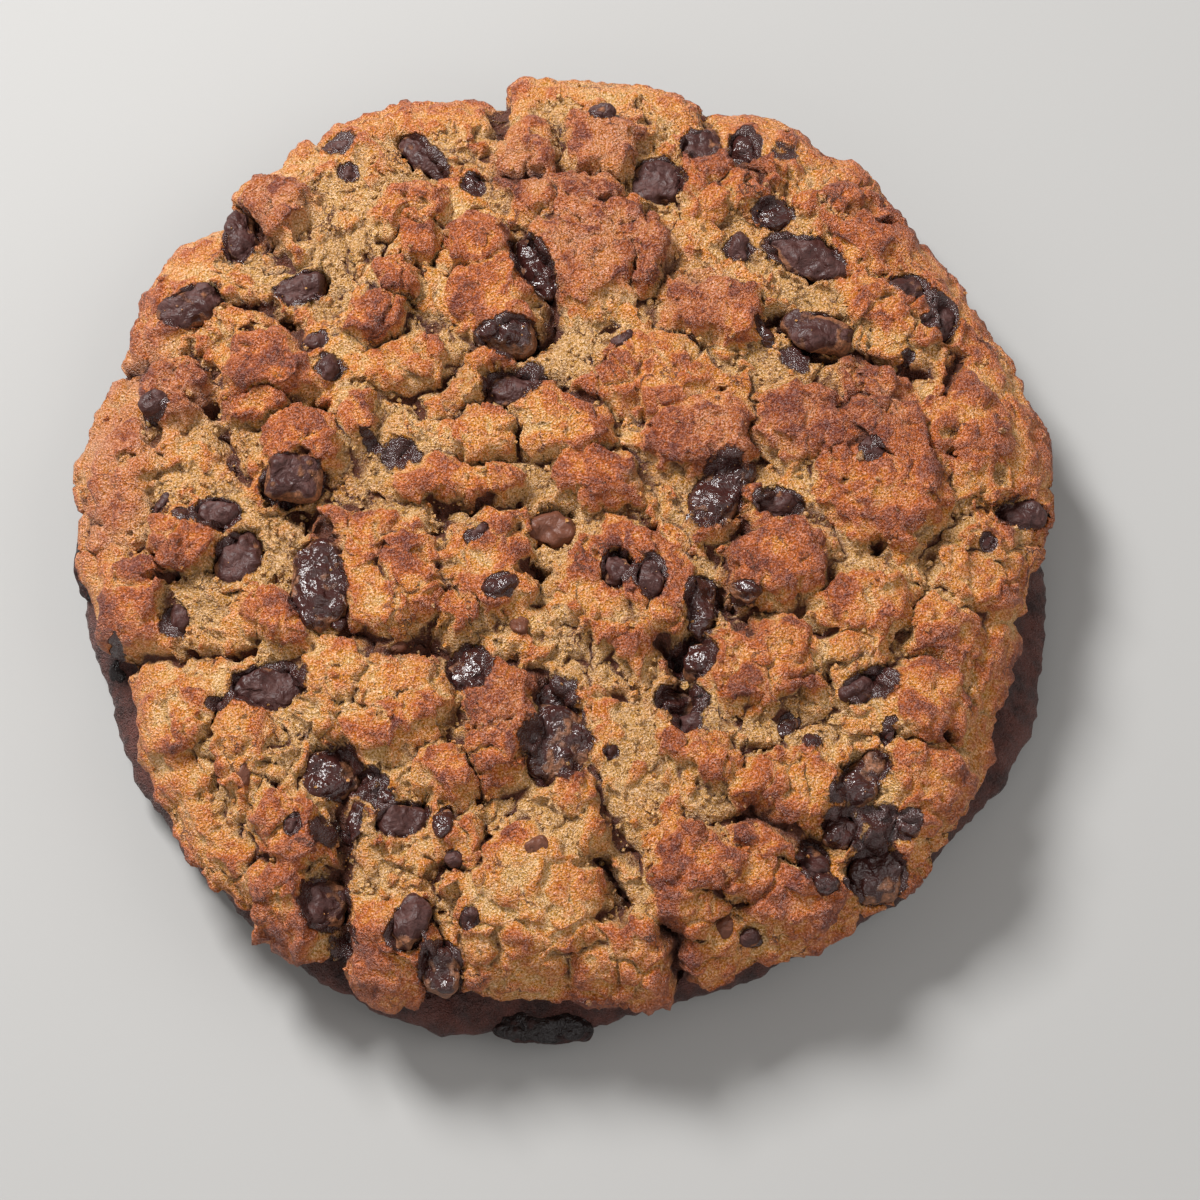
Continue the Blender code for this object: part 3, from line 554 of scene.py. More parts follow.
# Places in mm with no chunk of their own where chocolate has smeared: x, y, radius
SMEARS = (
    (-32, 16, 5), (-45, 86, 4), (-43, 79, 3), (35, 61, 4), (59, -33, 4), (-46, 35, 4),
    (-37, -53, 4), (-77, -17, 4), (64, -31, 4), (-7, 33, 5), (61, -60, 8), (-1, -34, 5),
    (26, -26, 6), (-46, -62, 4), (-44, -84, 4), (44, 84, 4), (47, 38, 5), (-18, 75, 3),
)

# Deep holes in mm, dug and darkened with painted shade: x, y, length, width, turn in degrees
PITS = (
    (61.6, -2.5, 2.8, 5.4, 0), (63.8, 67.9, 2.8, 2.8, 0), (78.4, 17, 1.6, 3.2, 0),
    (-5.6, -7.2, 4.8, 4.6, 0), (18.4, 1, 2.4, 2.2, 0), (-79.6, -9.5, 7.6, 3.2, 0),
    (-49, 28, 3, 2.8, 0), (76.4, -40.5, 3, 2.6, 0),
)

# Broad patches in mm that bake lighter or darker: x, y, radius, change of browning. The darker ones
# towards the back right are partly painted shade where the light falls off
TINTS = (
    (-8, 19, 9, -0.38), (-20, 27, 8, -0.25), (-40, 66, 14, -0.15), (-55, 58, 10, -0.12),
    (2, 38, 9, -0.15), (45, 12, 9, -0.12), (-38, -35, 13, -0.12), (30, 30, 12, 0.05),
    (20, 22, 16, 0.16), (60, 20, 16, 0.15), (-70, -45, 16, -0.18), (10, -72, 14, -0.14),
    (40, -45, 12, -0.08), (75, 0, 14, -0.06), (70, 62, 14, 0.10), (50, 60, 22, 0.08),
    (50, 88, 14, 0.12), (80, 60, 14, 0.12), (92, 24, 14, 0.16), (-8, -80, 14, -0.10),
    (36, -74, 12, 0.16), (13, -12, 12, 0.12), (-60, 30, 14, 0.10), (60, -15, 12, -0.10),
    (2, -25, 9, -0.22), (-2, -58, 8, -0.12), (27, 60, 12, 0.05), (88, 20, 12, 0.05),
    (-36, 30, 8, -0.25),
)
# Domes in mm whose smooth crust baked to a pinkish mauve: x, y, radius
MAUVE = (
    (5, 61, 14), (5, 73, 8), (9, 84, 9), (-7, 78, 11), (17, 60, 8), (-58, 71, 10), (-76, 30, 9),
    (-88, 22, 12), (-90, 6, 10), (-84, 38, 9), (27, 50, 9), (30, 20, 9), (-12, -38, 6), (63, 26, 8),
    (47, 22, 8),
)


class DoughSettings(PropertyGroup):
    """Sizes and colours of the baked dough."""

    lip_radius: FloatProperty(
        name="Lip radius",
        description="Mean radius of the puffed top's lip",
        default=0.1004,
        unit="LENGTH",
    )
    foot_radius: FloatProperty(
        name="Foot radius", description="Mean radius of the dark foot", default=0.099, unit="LENGTH"
    )
    crown_height: FloatProperty(
        name="Crown height", description="Height of the plain dome", default=0.0332, unit="LENGTH"
    )
    lip_height: FloatProperty(
        name="Lip height", description="Height of the lip's widest ring", default=0.0175, unit="LENGTH"
    )
    waist_height: FloatProperty(
        name="Waist height",
        description="Height of the groove under the lip",
        default=0.012,
        unit="LENGTH",
    )
    waist_share: FloatProperty(
        name="Waist share",
        description="Radius of the waist as a share of the lip",
        default=0.962,
        subtype="FACTOR",
    )
    foot_height: FloatProperty(
        name="Foot height", description="Height of the foot's widest ring", default=0.0065, unit="LENGTH"
    )
    flat_share: FloatProperty(
        name="Flat share",
        description="Radius of the flat base as a share of the foot",
        default=0.9,
        subtype="FACTOR",
    )
    grid_cells: IntProperty(
        name="Grid cells", description="Cells across the top before it is thinned", default=470
    )
    side_rows: IntProperty(name="Side rows", description="Rows from the lip to the base", default=30)
    crumbs: IntProperty(name="Crumbs", description="Number of loose crumbs", default=2600)
    crumb_smallest: FloatProperty(name="Smallest crumb", description="Smallest crumb in mm", default=0.4)
    crumb_spread: FloatProperty(
        name="Crumb spread",
        description="Largest less smallest crumb in mm",
        default=1.3,
    )
    triangles: IntProperty(name="Triangles", description="Triangles left in the dough", default=186000)
    pale: FloatVectorProperty(
        name="Pale crumb", description="Light dry crumb", default=(0.67, 0.388, 0.160), subtype="COLOR"
    )
    recess: FloatVectorProperty(
        name="Recess crumb",
        description="Moist crumb in the hollows",
        default=(0.43, 0.224, 0.088),
        subtype="COLOR",
    )
    golden: FloatVectorProperty(
        name="Golden crust",
        description="Lightly baked crust",
        default=(0.65, 0.260, 0.074),
        subtype="COLOR",
    )
    brown: FloatVectorProperty(
        name="Brown crust", description="Well baked crust", default=(0.49, 0.129, 0.036), subtype="COLOR"
    )
    dark: FloatVectorProperty(
        name="Dark crust",
        description="The most browned peaks",
        default=(0.180, 0.046, 0.027),
        subtype="COLOR",
    )
    mauve: FloatVectorProperty(
        name="Mauve crust",
        description="Pinkish smooth crust of the domes",
        default=(0.51, 0.205, 0.098),
        subtype="COLOR",
    )
    # Painted shade of the cracks, holes and hollows, partly the melted chocolate in the cracks
    crack_shade_and_chocolate: FloatVectorProperty(
        name="Crack",
        description="Dark depths of the cracks",
        default=(0.110, 0.030, 0.013),
        subtype="COLOR",
    )
    # Colour of the burnt foot, also used as painted shade in the waist under the lip
    foot: FloatVectorProperty(
        name="Foot crust",
        description="Hard baked foot and underside",
        default=(0.120, 0.038, 0.028),
        subtype="COLOR",
    )
    foot_dark: FloatVectorProperty(
        name="Foot burnt",
        description="Burnt patches of the foot",
        default=(0.036, 0.013, 0.011),
        subtype="COLOR",
    )


class ChocolateSettings(PropertyGroup):
    """Colours of the chocolate."""

    dark: FloatVectorProperty(
        name="Dark chocolate",
        description="Melted chocolate",
        default=(0.038, 0.011, 0.009),
        subtype="COLOR",
    )
    bloom: FloatVectorProperty(
        name="Bloom",
        description="Grey bloom on dull chocolate",
        default=(0.080, 0.033, 0.028),
        subtype="COLOR",
    )
    stuck: FloatVectorProperty(
        name="Stuck crumb",
        description="Dough that sticks to the chocolate",
        default=(0.24, 0.092, 0.040),
        subtype="COLOR",
    )
    milk: FloatVectorProperty(
        name="Milk chocolate",
        description="Milk chocolate",
        default=(0.115, 0.040, 0.022),
        subtype="COLOR",
    )
    burnt: FloatVectorProperty(
        name="Burnt chocolate",
        description="Burnt drips on the foot",
        default=(0.012, 0.008, 0.008),
        subtype="COLOR",
    )


class StageSettings(PropertyGroup):
    """The floor, the light and the camera."""

    floor_colour: FloatVectorProperty(
        name="Floor", description="Plain pale floor", default=(0.33, 0.325, 0.317), subtype="COLOR"
    )
    elevation: FloatProperty(
        name="Elevation",
        description="Camera above the horizon",
        default=math.radians(70.0),
        subtype="ANGLE",
    )
    distance: FloatProperty(
        name="Distance", description="Camera from the point it looks at", default=0.75, unit="LENGTH"
    )
    floor_size: FloatProperty(
        name="Floor size", description="Side of the square floor", default=6.0, unit="LENGTH"
    )
    room_colour: FloatVectorProperty(
        name="Room", description="Light from all round", default=(0.93, 0.895, 0.87), subtype="COLOR"
    )
    room_strength: FloatProperty(name="Room strength", description="Strength of that light", default=0.36)
    lens: FloatProperty(name="Lens", description="Focal length in mm", default=112.5)
    aim: FloatVectorProperty(
        name="Aim",
        description="Point that the camera looks at",
        default=(0.0075, -0.0148, 0.020),
        subtype="XYZ",
    )


def new_material(name, roughness):
    """A new material with its node tree and its shader."""
    made = bpy.data.materials.new(name)
    made.use_nodes = True
    tree = made.node_tree
    shader = tree.nodes["Principled BSDF"]
    shader.inputs["Roughness"].default_value = roughness
    return made, tree, shader


def node(tree, kind, inputs=(), **settings):
    """A node with some settings, and inputs given by name as values or sockets."""
    made = tree.nodes.new(kind)
    for key, value in settings.items():
        setattr(made, key, value)
    for key, value in dict(inputs).items():
        if isinstance(value, bpy.types.NodeSocket):
            tree.links.new(value, made.inputs[key])
        else:
            made.inputs[key].default_value = value
    return made


def object_noise(tree, scale, detail=4.0, roughness=0.6, distortion=0.0):
    """Noise in the piece's own space, from 0 to 1. The scale is in waves a metre."""
    settings = {
        "Vector": node(tree, "ShaderNodeTexCoord").outputs["Object"],
        "Scale": scale,
        "Detail": detail,
        "Roughness": roughness,
        "Distortion": distortion,
    }
    return node(tree, "ShaderNodeTexNoise", settings).outputs["Fac"]


def attribute(tree, name):
    """A number stored on the mesh's points."""
    return node(tree, "ShaderNodeAttribute", attribute_name=name).outputs["Fac"]


def maths(tree, operation, first, second=0.0, third=0.0, clamp=False):
    """One sum of two or three numbers."""
    made = node(tree, "ShaderNodeMath", operation=operation, use_clamp=clamp)
    for socket, value in zip(made.inputs, (first, second, third)):
        if isinstance(value, bpy.types.NodeSocket):
            tree.links.new(value, socket)
        else:
            socket.default_value = value
    return made.outputs[0]


def ramp(tree, value, stops):
    """A colour ramp through (place, colour) stops."""
    made = node(tree, "ShaderNodeValToRGB", {"Fac": value})
    elements = made.color_ramp.elements
    while len(elements) < len(stops):
        elements.new(0.5)
    for element, (place, colour) in zip(elements, stops):
        element.position = place
        element.color = (*colour, 1.0)
    return made.outputs["Color"]


def blend_colour(tree, share, first, second):
    """A mix of two colours, each a colour or a socket."""
    made = node(tree, "ShaderNodeMix", data_type="RGBA")
    for socket, value in ((made.inputs[0], share), (made.inputs[6], first), (made.inputs[7], second)):
        if isinstance(value, bpy.types.NodeSocket):
            tree.links.new(value, socket)
        elif isinstance(value, (int, float)):
            socket.default_value = value
        else:
            socket.default_value = (*value, 1.0)
    return made.outputs[2]


def spread(tree, value, low, high):
    """Stretches low..high to 0..1, clamped."""
    made = node(tree, "ShaderNodeMapRange", {"Value": value, "From Min": low, "From Max": high})
    return made.outputs["Result"]


def mottled(tree, value, mottling, strength, clamp=False):
    """A number with more or less of it by a noise whose mean is a half."""
    lowered = maths(tree, "SUBTRACT", value, 0.5 * strength)
    return maths(tree, "MULTIPLY_ADD", mottling, strength, lowered, clamp=clamp)


def bumped(tree, shader, height):
    """Bumps the shader's surface by a height in metres."""
    bump = node(tree, "ShaderNodeBump", {"Height": height, "Distance": 1.0, "Strength": 1.0})
    tree.links.new(bump.outputs["Normal"], shader.inputs["Normal"])


def fine_cracks(tree):
    """Hair cracks of the crust as painted shade, 1 in a crack and 0 beside it, in some places only."""
    place = node(tree, "ShaderNodeTexCoord").outputs["Object"]
    bends = node(tree, "ShaderNodeTexNoise", {"Vector": place, "Scale": CRACK_BEND_SCALE, "Detail": 3.0})
    away = node(tree, "ShaderNodeVectorMath", {"Scale": CRACK_BEND}, operation="SCALE")
    tree.links.new(bends.outputs["Color"], away.inputs[0])
    bent = node(tree, "ShaderNodeVectorMath", operation="ADD")
    tree.links.new(place, bent.inputs[0])
    tree.links.new(away.outputs[0], bent.inputs[1])
    inputs = {"Vector": bent.outputs[0], "Scale": CRACK_CELL_SCALE}
    cell = node(tree, "ShaderNodeTexVoronoi", inputs, feature="DISTANCE_TO_EDGE")
    line = maths(tree, "SUBTRACT", 1.0, spread(tree, cell.outputs["Distance"], 0.008, 0.040))
    places = spread(tree, object_noise(tree, CRACK_PLACE_SCALE, detail=2.0), 0.54, 0.66)
    return maths(tree, "MULTIPLY", line, places)


def crust_colour(tree, settings, coarse, fine):
    """The browning of the crust, from pale through golden and brown to dark, with its mauve domes."""
    tone = mottled(tree, attribute(tree, "tone"), coarse, 0.7)
    tone = mottled(tree, tone, fine, 0.8, clamp=True)
    stops = (
        (0.0, tuple(settings.pale)),
        (GOLDEN_PLACE, tuple(settings.golden)),
        (BROWN_PLACE, tuple(settings.brown)),
        (1.0, tuple(settings.dark)),
    )
    mauve = maths(tree, "MULTIPLY", attribute(tree, "mauve"), spread(tree, tone, 0.88, 0.62))
    mauve = maths(tree, "MULTIPLY", mauve, MAUVE_MOST)
    return blend_colour(tree, mauve, ramp(tree, tone, stops), tuple(settings.mauve))


def crumb_colour(tree, settings, baked, fine, grain):
    """The crust's colour with open crumb, single grains with painted glints, and small holes and hair
    cracks in painted shade.
    """
    moist_crumb = spread(tree, fine, 0.35, 0.65)
    open_crumb = blend_colour(tree, moist_crumb, tuple(settings.recess), tuple(settings.pale))
    crust = maths(tree, "MULTIPLY_ADD", fine, 0.8, attribute(tree, "crust"))
    open_share = maths(tree, "SUBTRACT", 1.0, spread(tree, crust, 0.3, 1.1))
    covered = maths(tree, "MULTIPLY", open_share, OPEN_CRUMB_MOST)
    # Grain mottling, with painted glints where the grain is brightest and palest
    grains = {
        "Value": maths(tree, "MULTIPLY_ADD", grain, *GRAIN_MOTTLE_AND_GLINT),
        "Saturation": maths(tree, "MULTIPLY_ADD", grain, *GRAIN_SATURATION_AND_GLINT),
        "Color": blend_colour(tree, covered, baked, open_crumb),
    }
    grained_and_glinting = node(tree, "ShaderNodeHueSaturation", grains).outputs["Color"]
    # Small holes and hair cracks are painted in the colour of the painted crack shade
    holes = spread(tree, object_noise(tree, HOLE_SCALE, detail=2.0, roughness=0.5), 0.64, 0.70)
    holes = maths(tree, "MULTIPLY", maths(tree, "MULTIPLY", holes, open_share), HOLE_MOST)
    painted_opening_shade = maths(tree, "MAXIMUM", holes, fine_cracks(tree))
    return blend_colour(tree, painted_opening_shade, grained_and_glinting, tuple(settings.crack_shade_and_chocolate))


def dough_material(settings, chocolate):
    """Crumb, crust and browning from the mesh's own numbers, with fine mottling, painted glints and
    painted shade.
    """
    made, tree, shader = new_material("baked_dough", 0.7)
    shader.inputs["Specular IOR Level"].default_value = DOUGH_SPECULAR
    coarse = object_noise(tree, COARSE_SCALE, detail=3.0, roughness=0.65)
    fine = object_noise(tree, FINE_SCALE, detail=3.0, roughness=0.7)
    grain = object_noise(tree, GRAIN_SCALE, detail=2.0, roughness=0.65)
    baked = crust_colour(tree, settings, coarse, fine)
    baked = crumb_colour(tree, settings, baked, fine, grain)
    # Painted shade in the cracks and hollows, partly melted chocolate
    hollow_shade = mottled(tree, attribute(tree, "hollow_shade"), fine, 0.6)
    baked = blend_colour(tree, spread(tree, hollow_shade, 0.35, 1.1), baked, tuple(settings.crack_shade_and_chocolate))
    burnt = spread(tree, coarse, 0.4, 0.65)
    foot_colour = blend_colour(tree, burnt, tuple(settings.foot), tuple(settings.foot_dark))
    # The burnt foot, with painted shade under the lip
    foot = spread(tree, maths(tree, "MULTIPLY_ADD", fine, 0.5, attribute(tree, "foot")), 0.45, 1.05)
    baked = blend_colour(tree, foot, baked, foot_colour)
    smear = spread(tree, mottled(tree, attribute(tree, "smear"), fine, 0.7), 0.38, 0.58)
    baked = blend_colour(tree, smear, baked, tuple(chocolate.dark))
    tree.links.new(baked, shader.inputs["Base Color"])
    matt = maths(tree, "MULTIPLY_ADD", spread(tree, grain, 0.42, 0.66), *DOUGH_MATT)
    matt = maths(tree, "SUBTRACT", matt, maths(tree, "MULTIPLY", smear, SMEAR_GLOSS), clamp=True)
    tree.links.new(matt, shader.inputs["Roughness"])
    height = maths(tree, "MULTIPLY_ADD", fine, FINE_BUMP, maths(tree, "MULTIPLY", coarse, COARSE_BUMP))
    height = maths(tree, "MULTIPLY_ADD", grain, GRAIN_BUMP, height)
    calm = maths(tree, "MULTIPLY_ADD", smear, -SMEAR_CALM, 1.0)
    bumped(tree, shader, maths(tree, "MULTIPLY", height, calm))
    return made


def chocolate_material(name, colours, roughness, gloss, bloom_share, wave):
    """Chocolate with patches of bloom, stuck crumb and a slightly rippled surface."""
    colour, bloom, stuck = colours
    made, tree, shader = new_material(name, roughness)
    shader.inputs["Specular IOR Level"].default_value = gloss
    patches = object_noise(tree, BLOOM_SCALE, detail=4.0, roughness=0.6, distortion=0.4)
    fine = object_noise(tree, SPECK_SCALE, detail=3.0, roughness=0.6)
    start = BLOOM_START - BLOOM_START_SOONER * bloom_share
    whole = BLOOM_WHOLE - BLOOM_WHOLE_SOONER * bloom_share
    share = spread(tree, patches, start, whole)
    share = maths(tree, "MULTIPLY", share, spread(tree, fine, 0.3, 0.6))
    film = spread(tree, maths(tree, "MULTIPLY_ADD", fine, 0.7, attribute(tree, "film")), 0.48, 0.80)
    bare = blend_colour(tree, share, tuple(colour), tuple(bloom))
    shaded = tuple(SHADED_CRUMB * value for value in stuck)
    crumbs = blend_colour(tree, spread(tree, fine, 0.4, 0.6), tuple(stuck), shaded)
    tree.links.new(blend_colour(tree, film, bare, crumbs), shader.inputs["Base Color"])
    matt = maths(tree, "MAXIMUM", share, film)
    matt = maths(tree, "MULTIPLY_ADD", matt, FILM_MATT, roughness, clamp=True)
    tree.links.new(matt, shader.inputs["Roughness"])
    ripples = object_noise(tree, RIPPLE_SCALE, detail=3.0, roughness=0.5, distortion=0.6)
    height = maths(tree, "MULTIPLY_ADD", fine, SPECK_BUMP * wave, maths(tree, "MULTIPLY", ripples, wave))
    bumped(tree, shader, maths(tree, "MULTIPLY_ADD", film, FILM_BUMP, height))
    return made


def chocolate_materials(settings):
    """The chocolate's finishes by name."""
    colours = {
        "glossy": (settings.dark, settings.bloom, settings.stuck),
        "dull": (settings.dark, settings.bloom, settings.stuck),
        "milk": (settings.milk, settings.bloom, settings.stuck),
        "burnt": (settings.burnt, settings.dark, settings.dark),
    }
    return {
        finish: chocolate_material(FINISHES[finish], colours[finish], *look)
        for finish, look in CHOCOLATE_LOOKS.items()
    }


def smooth_step(value):
    """0 below 0, 1 above 1 and an S-curve between."""
    share = np.clip(value, 0.0, 1.0)
    return share * share * (3.0 - 2.0 * share)


def rising(value, start, width):
    """0 up to the start, 1 past its width and an S-curve between."""
    return smooth_step((value - start) / width)


def eased(value, places, heights):
    """A curve through the given points that eases from each point to the next."""
    index = np.clip(np.searchsorted(places, value, side="right") - 1, 0, len(places) - 2)
    share = (value - places[index]) / (places[index + 1] - places[index])
    return heights[index] + (heights[index + 1] - heights[index]) * smooth_step(share)


def outline(angle, radius, changes):
    """The radius at each angle of an outline whose changes are in degrees and mm."""
    degrees, more = np.array(changes, float).T
    places = np.append(degrees, degrees[0] + 360.0)
    values = np.append(more, more[0])
    return radius + eased(np.degrees(angle) % 360.0, places, values) * MM


def seed_shift(seed):
    """A far place in the noise for each seed."""
    return np.array((seed * 17.3, seed * 5.1, seed * 9.7))


def rough(points, wave, seed):
    """Perlin noise with the given wavelength, from about -1 to 1."""
    return np.array([noise.noise(point) for point in (points / wave + seed_shift(seed)).tolist()])


def uneven(points, *names):
    """The named unevennesses of the dough at these points, added up."""
    rows = [UNEVEN[name] for name in names]
    return sum(strength * rough(points, wave, seed) for strength, wave, seed in rows)


def crests(points, name, mean):
    """One of them folded up into sharp crests."""
    strength, wave, seed = UNEVEN[name]
    return strength * (np.abs(rough(points, wave, seed)) - mean)


def cells(points, wave, seed):
    """Distances to the two nearest points of a scattered set, in cells."""
    found = [noise.voronoi(point)[0] for point in (points / wave + seed_shift(seed)).tolist()]
    found = np.array(found)
    return found[:, 0], found[:, 1]


def placed(x, y):
    """Where a place of the tables lies on the dough, in mm."""
    return x * (1.0 + PLACE_SPREAD * y), y - PLACE_FORWARD + PLACE_LEVEL * y * y


def own_axes(x, y, middle, turn):
    """Distances in mm along and across a turned lump or patch whose middle the tables give."""
    centre_x, centre_y = placed(*middle)
    cos, sin = math.cos(math.radians(turn)), math.sin(math.radians(turn))
    east, north = x / MM - centre_x, y / MM - centre_y
    return east * cos + north * sin, north * cos - east * sin


def lump_rise(x, y, ragged):
    """Height of the lumps, their browning, and the narrow grooves between them."""
    nearest = np.full_like(x, FAR_SIZES)
    second = np.full_like(x, FAR_SIZES)
    height = np.zeros_like(x)
    browning = np.zeros_like(x)
    for seen_x, seen_y, length, width, turn, rise, brown in LUMPS:
        along, across = own_axes(x, y, (seen_x, seen_y), turn)
        along, across = np.abs(along / (LUMP_REACH * length)), np.abs(across / (LUMP_REACH * width))
        far = (along**LUMP_POWER + across**LUMP_POWER) ** (1 / LUMP_POWER) + ragged
        lift = rise * smooth_step((LUMP_EDGE - far) / LUMP_SHOULDER)
        closer = far < nearest
        second = np.where(closer, nearest, np.minimum(second, far))
        nearest = np.where(closer, far, nearest)
        browning = np.where(closer, brown, browning)
        height = np.maximum(height, lift)
    groove = np.exp(-(((second - nearest) / GROOVE_WIDTH) ** 2))
    groove *= smooth_step((GROOVE_EDGE - nearest) / GROOVE_FADE)
    browning = browning * smooth_step((BROWNING_EDGE - nearest) / BROWNING_FADE)
    return (height - GROOVE_DEPTH * groove) * MM, browning, groove


def crack_depth(x, y):
    """Depth that the cracks take away."""
    total = np.zeros_like(x)
    for depth, half_width, *seen in CRACKS:
        points = [placed(*place) for place in seen]
        nearest = np.full_like(x, FAR_MM)
        for (start_x, start_y), (end_x, end_y) in zip(points, points[1:]):
            run_x, run_y = end_x - start_x, end_y - start_y
            east, north = x / MM - start_x, y / MM - start_y
            share = np.clip((east * run_x + north * run_y) / (run_x**2 + run_y**2), 0.0, 1.0)
            nearest = np.minimum(nearest, np.hypot(east - share * run_x, north - share * run_y))
        total = np.maximum(total, depth * np.exp(-((nearest / (CRACK_WIDENING * half_width)) ** 2)))
    return total * MM


def nearest_ellipse(x, y, rows, grow):
    """How far inside the nearest of these ellipses a place is: 1 at its middle, 0 at its edge."""
    total = np.full_like(x, -FAR_SIZES)
    for seen_x, seen_y, length, width, turn in rows:
        along, across = own_axes(x, y, (seen_x, seen_y), turn)
        reach = np.hypot(along / (0.5 * length + grow), across / (0.5 * width + grow))
        total = np.maximum(total, 1.0 - reach)
    return total


def round_patches(rows):
    """Round places given by their radius, as ellipses."""
    return [(x, y, 2.0 * radius, 2.0 * radius, 0) for x, y, radius in rows]


def smear_share(x, y):
    """How strongly a place is smeared with chocolate."""
    chunks = [row[1:6] for row in CHUNKS if row[6] != "milk"]
    chips = [row[:5] for row in CHIPS if row[5] != "milk"]
    share = nearest_ellipse(x, y, chunks, CHUNK_CREEP)
    share = np.maximum(share, nearest_ellipse(x, y, chips, CHIP_CREEP))
    stain = nearest_ellipse(x, y, round_patches(SMEARS), STAIN_CREEP)
    stain = STAIN_MOST * np.clip(stain * STAIN_GAIN, 0.0, 1.0)
    return np.maximum(np.clip(share * SMEAR_GAIN, 0.0, 1.0), stain)


def tint_share(x, y):
    """What broad patches add to the browning, partly painted shade towards the back right."""
    total = np.zeros_like(x)
    for seen_x, seen_y, radius, change in TINTS:
        centre_x, centre_y = placed(seen_x, seen_y)
        total += change * np.exp(-(((x / MM - centre_x) ** 2 + (y / MM - centre_y) ** 2) / radius**2))
    return total


def section_top(settings, share):
    """Height of the plain section at a share of the lip's radius."""
    places, heights = np.array(SECTION_TOP).T
    crown = settings.crown_height - settings.lip_height
    return settings.lip_height + crown * np.interp(share, places, heights)


def top_grid(grid_cells):
    """A square grid laid on the disc as shares of the radius, and its angles."""
    steps = np.linspace(-1.0, 1.0, grid_cells + 1)
    across, along = (values.ravel() for values in np.meshgrid(steps, steps))
    wide = np.abs(across) > np.abs(along)
    reach = np.where(wide, across, along)
    safe_across = np.where(wide, across, 1.0)
    safe_along = np.where(wide | (along == 0.0), 1.0, along)
    angle = np.where(
        wide,
        math.pi / 4 * along / safe_across,
        math.pi / 2 - math.pi / 4 * across / safe_along,
    )
    angle = np.where(reach < 0.0, angle + math.pi, angle)
    return np.abs(reach), angle


def grid_edge(grid_cells):
    """The grid's outer corners in order, counter-clockwise."""
    side = grid_cells + 1
    front = list(range(grid_cells))
    right = [row * side + grid_cells for row in range(grid_cells)]
    back = [grid_cells * side + column for column in range(grid_cells, 0, -1)]
    left = [row * side for row in range(grid_cells, 0, -1)]
    return front + right + back + left


def plain_points(settings):
    """The undisplaced dough: its points, and how much of the relief each one takes."""
    share, angle = top_grid(settings.grid_cells)
    reach = share * (1.0 + GRID_CROWDING - GRID_CROWDING * share)
    radius = reach * outline(angle, settings.lip_radius, LIP_OUTLINE)
    height = section_top(settings, reach)
    points = [np.stack([radius * np.cos(angle), radius * np.sin(angle), height], axis=1)]
    weights = [np.ones_like(share)]
    edge_angle = angle[grid_edge(settings.grid_cells)]
    lip = outline(edge_angle, settings.lip_radius, LIP_OUTLINE)
    foot = outline(edge_angle, settings.foot_radius, FOOT_OUTLINE)
    down = np.linspace(0.0, 1.0, settings.side_rows + 1)[1:]
    rings = np.array([1.0, settings.waist_share, 1.0, EDGE_SHARE, settings.flat_share])
    levels = [settings.lip_height, settings.waist_height, settings.foot_height, EDGE_HEIGHT, 0.0]
    shares = eased(down, np.array(SIDE_PLACES), rings)
    for row_share, row_height in zip(shares, np.interp(down, SIDE_PLACES, levels)):
        below_lip = settings.lip_height - row_height
        of_foot = smooth_step(below_lip / (settings.lip_height - settings.foot_height))
        row_radius = row_share * (lip + (foot - lip) * of_foot)
        x, y = row_radius * np.cos(edge_angle), row_radius * np.sin(edge_angle)
        points.append(np.stack([x, y, np.full_like(x, row_height)], axis=1))
        weights.append(np.full_like(x, 1.0 - of_foot))
    return np.concatenate(points), np.concatenate(weights)


def dough_faces(grid_cells, side_rows):
    """Quads of the grid and of the side rows, and the base as one face."""
    side = grid_cells + 1
    corner = (np.arange(grid_cells)[:, None] * side + np.arange(grid_cells)[None, :]).ravel()
    faces = np.stack([corner, corner + 1, corner + side + 1, corner + side], axis=1).tolist()
    ring = grid_edge(grid_cells)
    for row in range(side_rows):
        first = side * side + row * len(ring)
        below = list(range(first, first + len(ring)))
        for here in range(len(ring)):
            after = (here + 1) % len(ring)
            faces.append((ring[here], below[here], below[after], ring[after]))
        ring = below
    faces.append(tuple(reversed(ring)))
    return faces


def mesh_object(name, points, faces):
    """An object in the scene with this mesh."""
    mesh = bpy.data.meshes.new(name)
    mesh.from_pydata(points.tolist(), [], faces)
    mesh.update()
    made = bpy.data.objects.new(name, mesh)
    bpy.context.scene.collection.objects.link(made)
    return made


def select_only(obj):
    """Makes this the one selected and active object."""
    bpy.ops.object.select_all(action="DESELECT")
    obj.select_set(True)
    bpy.context.view_layer.objects.active = obj


def apply_modifier(obj, kind, **settings):
    """Adds one modifier and applies it at once."""
    select_only(obj)
    modifier = obj.modifiers.new(kind.title(), kind)
    for key, value in settings.items():
        setattr(modifier, key, value)
    bpy.ops.object.modifier_apply(modifier=modifier.name)


def point_array(mesh, what="co"):
    """Every vertex's place or normal as rows of three."""
    values = np.empty(len(mesh.vertices) * 3, np.float32)
    mesh.vertices.foreach_get(what, values)
    return values.reshape(-1, 3).astype(float)


def store(mesh, name, values):
    """A number for every point, for the materials."""
    layer = mesh.attributes.new(name, "FLOAT", "POINT")
    layer.data.foreach_set("value", np.asarray(values, np.float32))


def neighbour_mean(mesh, values, rounds):
    """Each point's value averaged with its neighbours', some rounds over."""
    ends = np.empty(len(mesh.edges) * 2, np.int32)
    mesh.edges.foreach_get("vertices", ends)
    first, second = ends.reshape(-1, 2).T
    count = np.bincount(ends, minlength=len(mesh.vertices))
    for _ in range(rounds):
        total = np.bincount(first, values[second], len(values))
        total += np.bincount(second, values[first], len(values))
        values = 0.5 * values + 0.5 * total / count
    return values


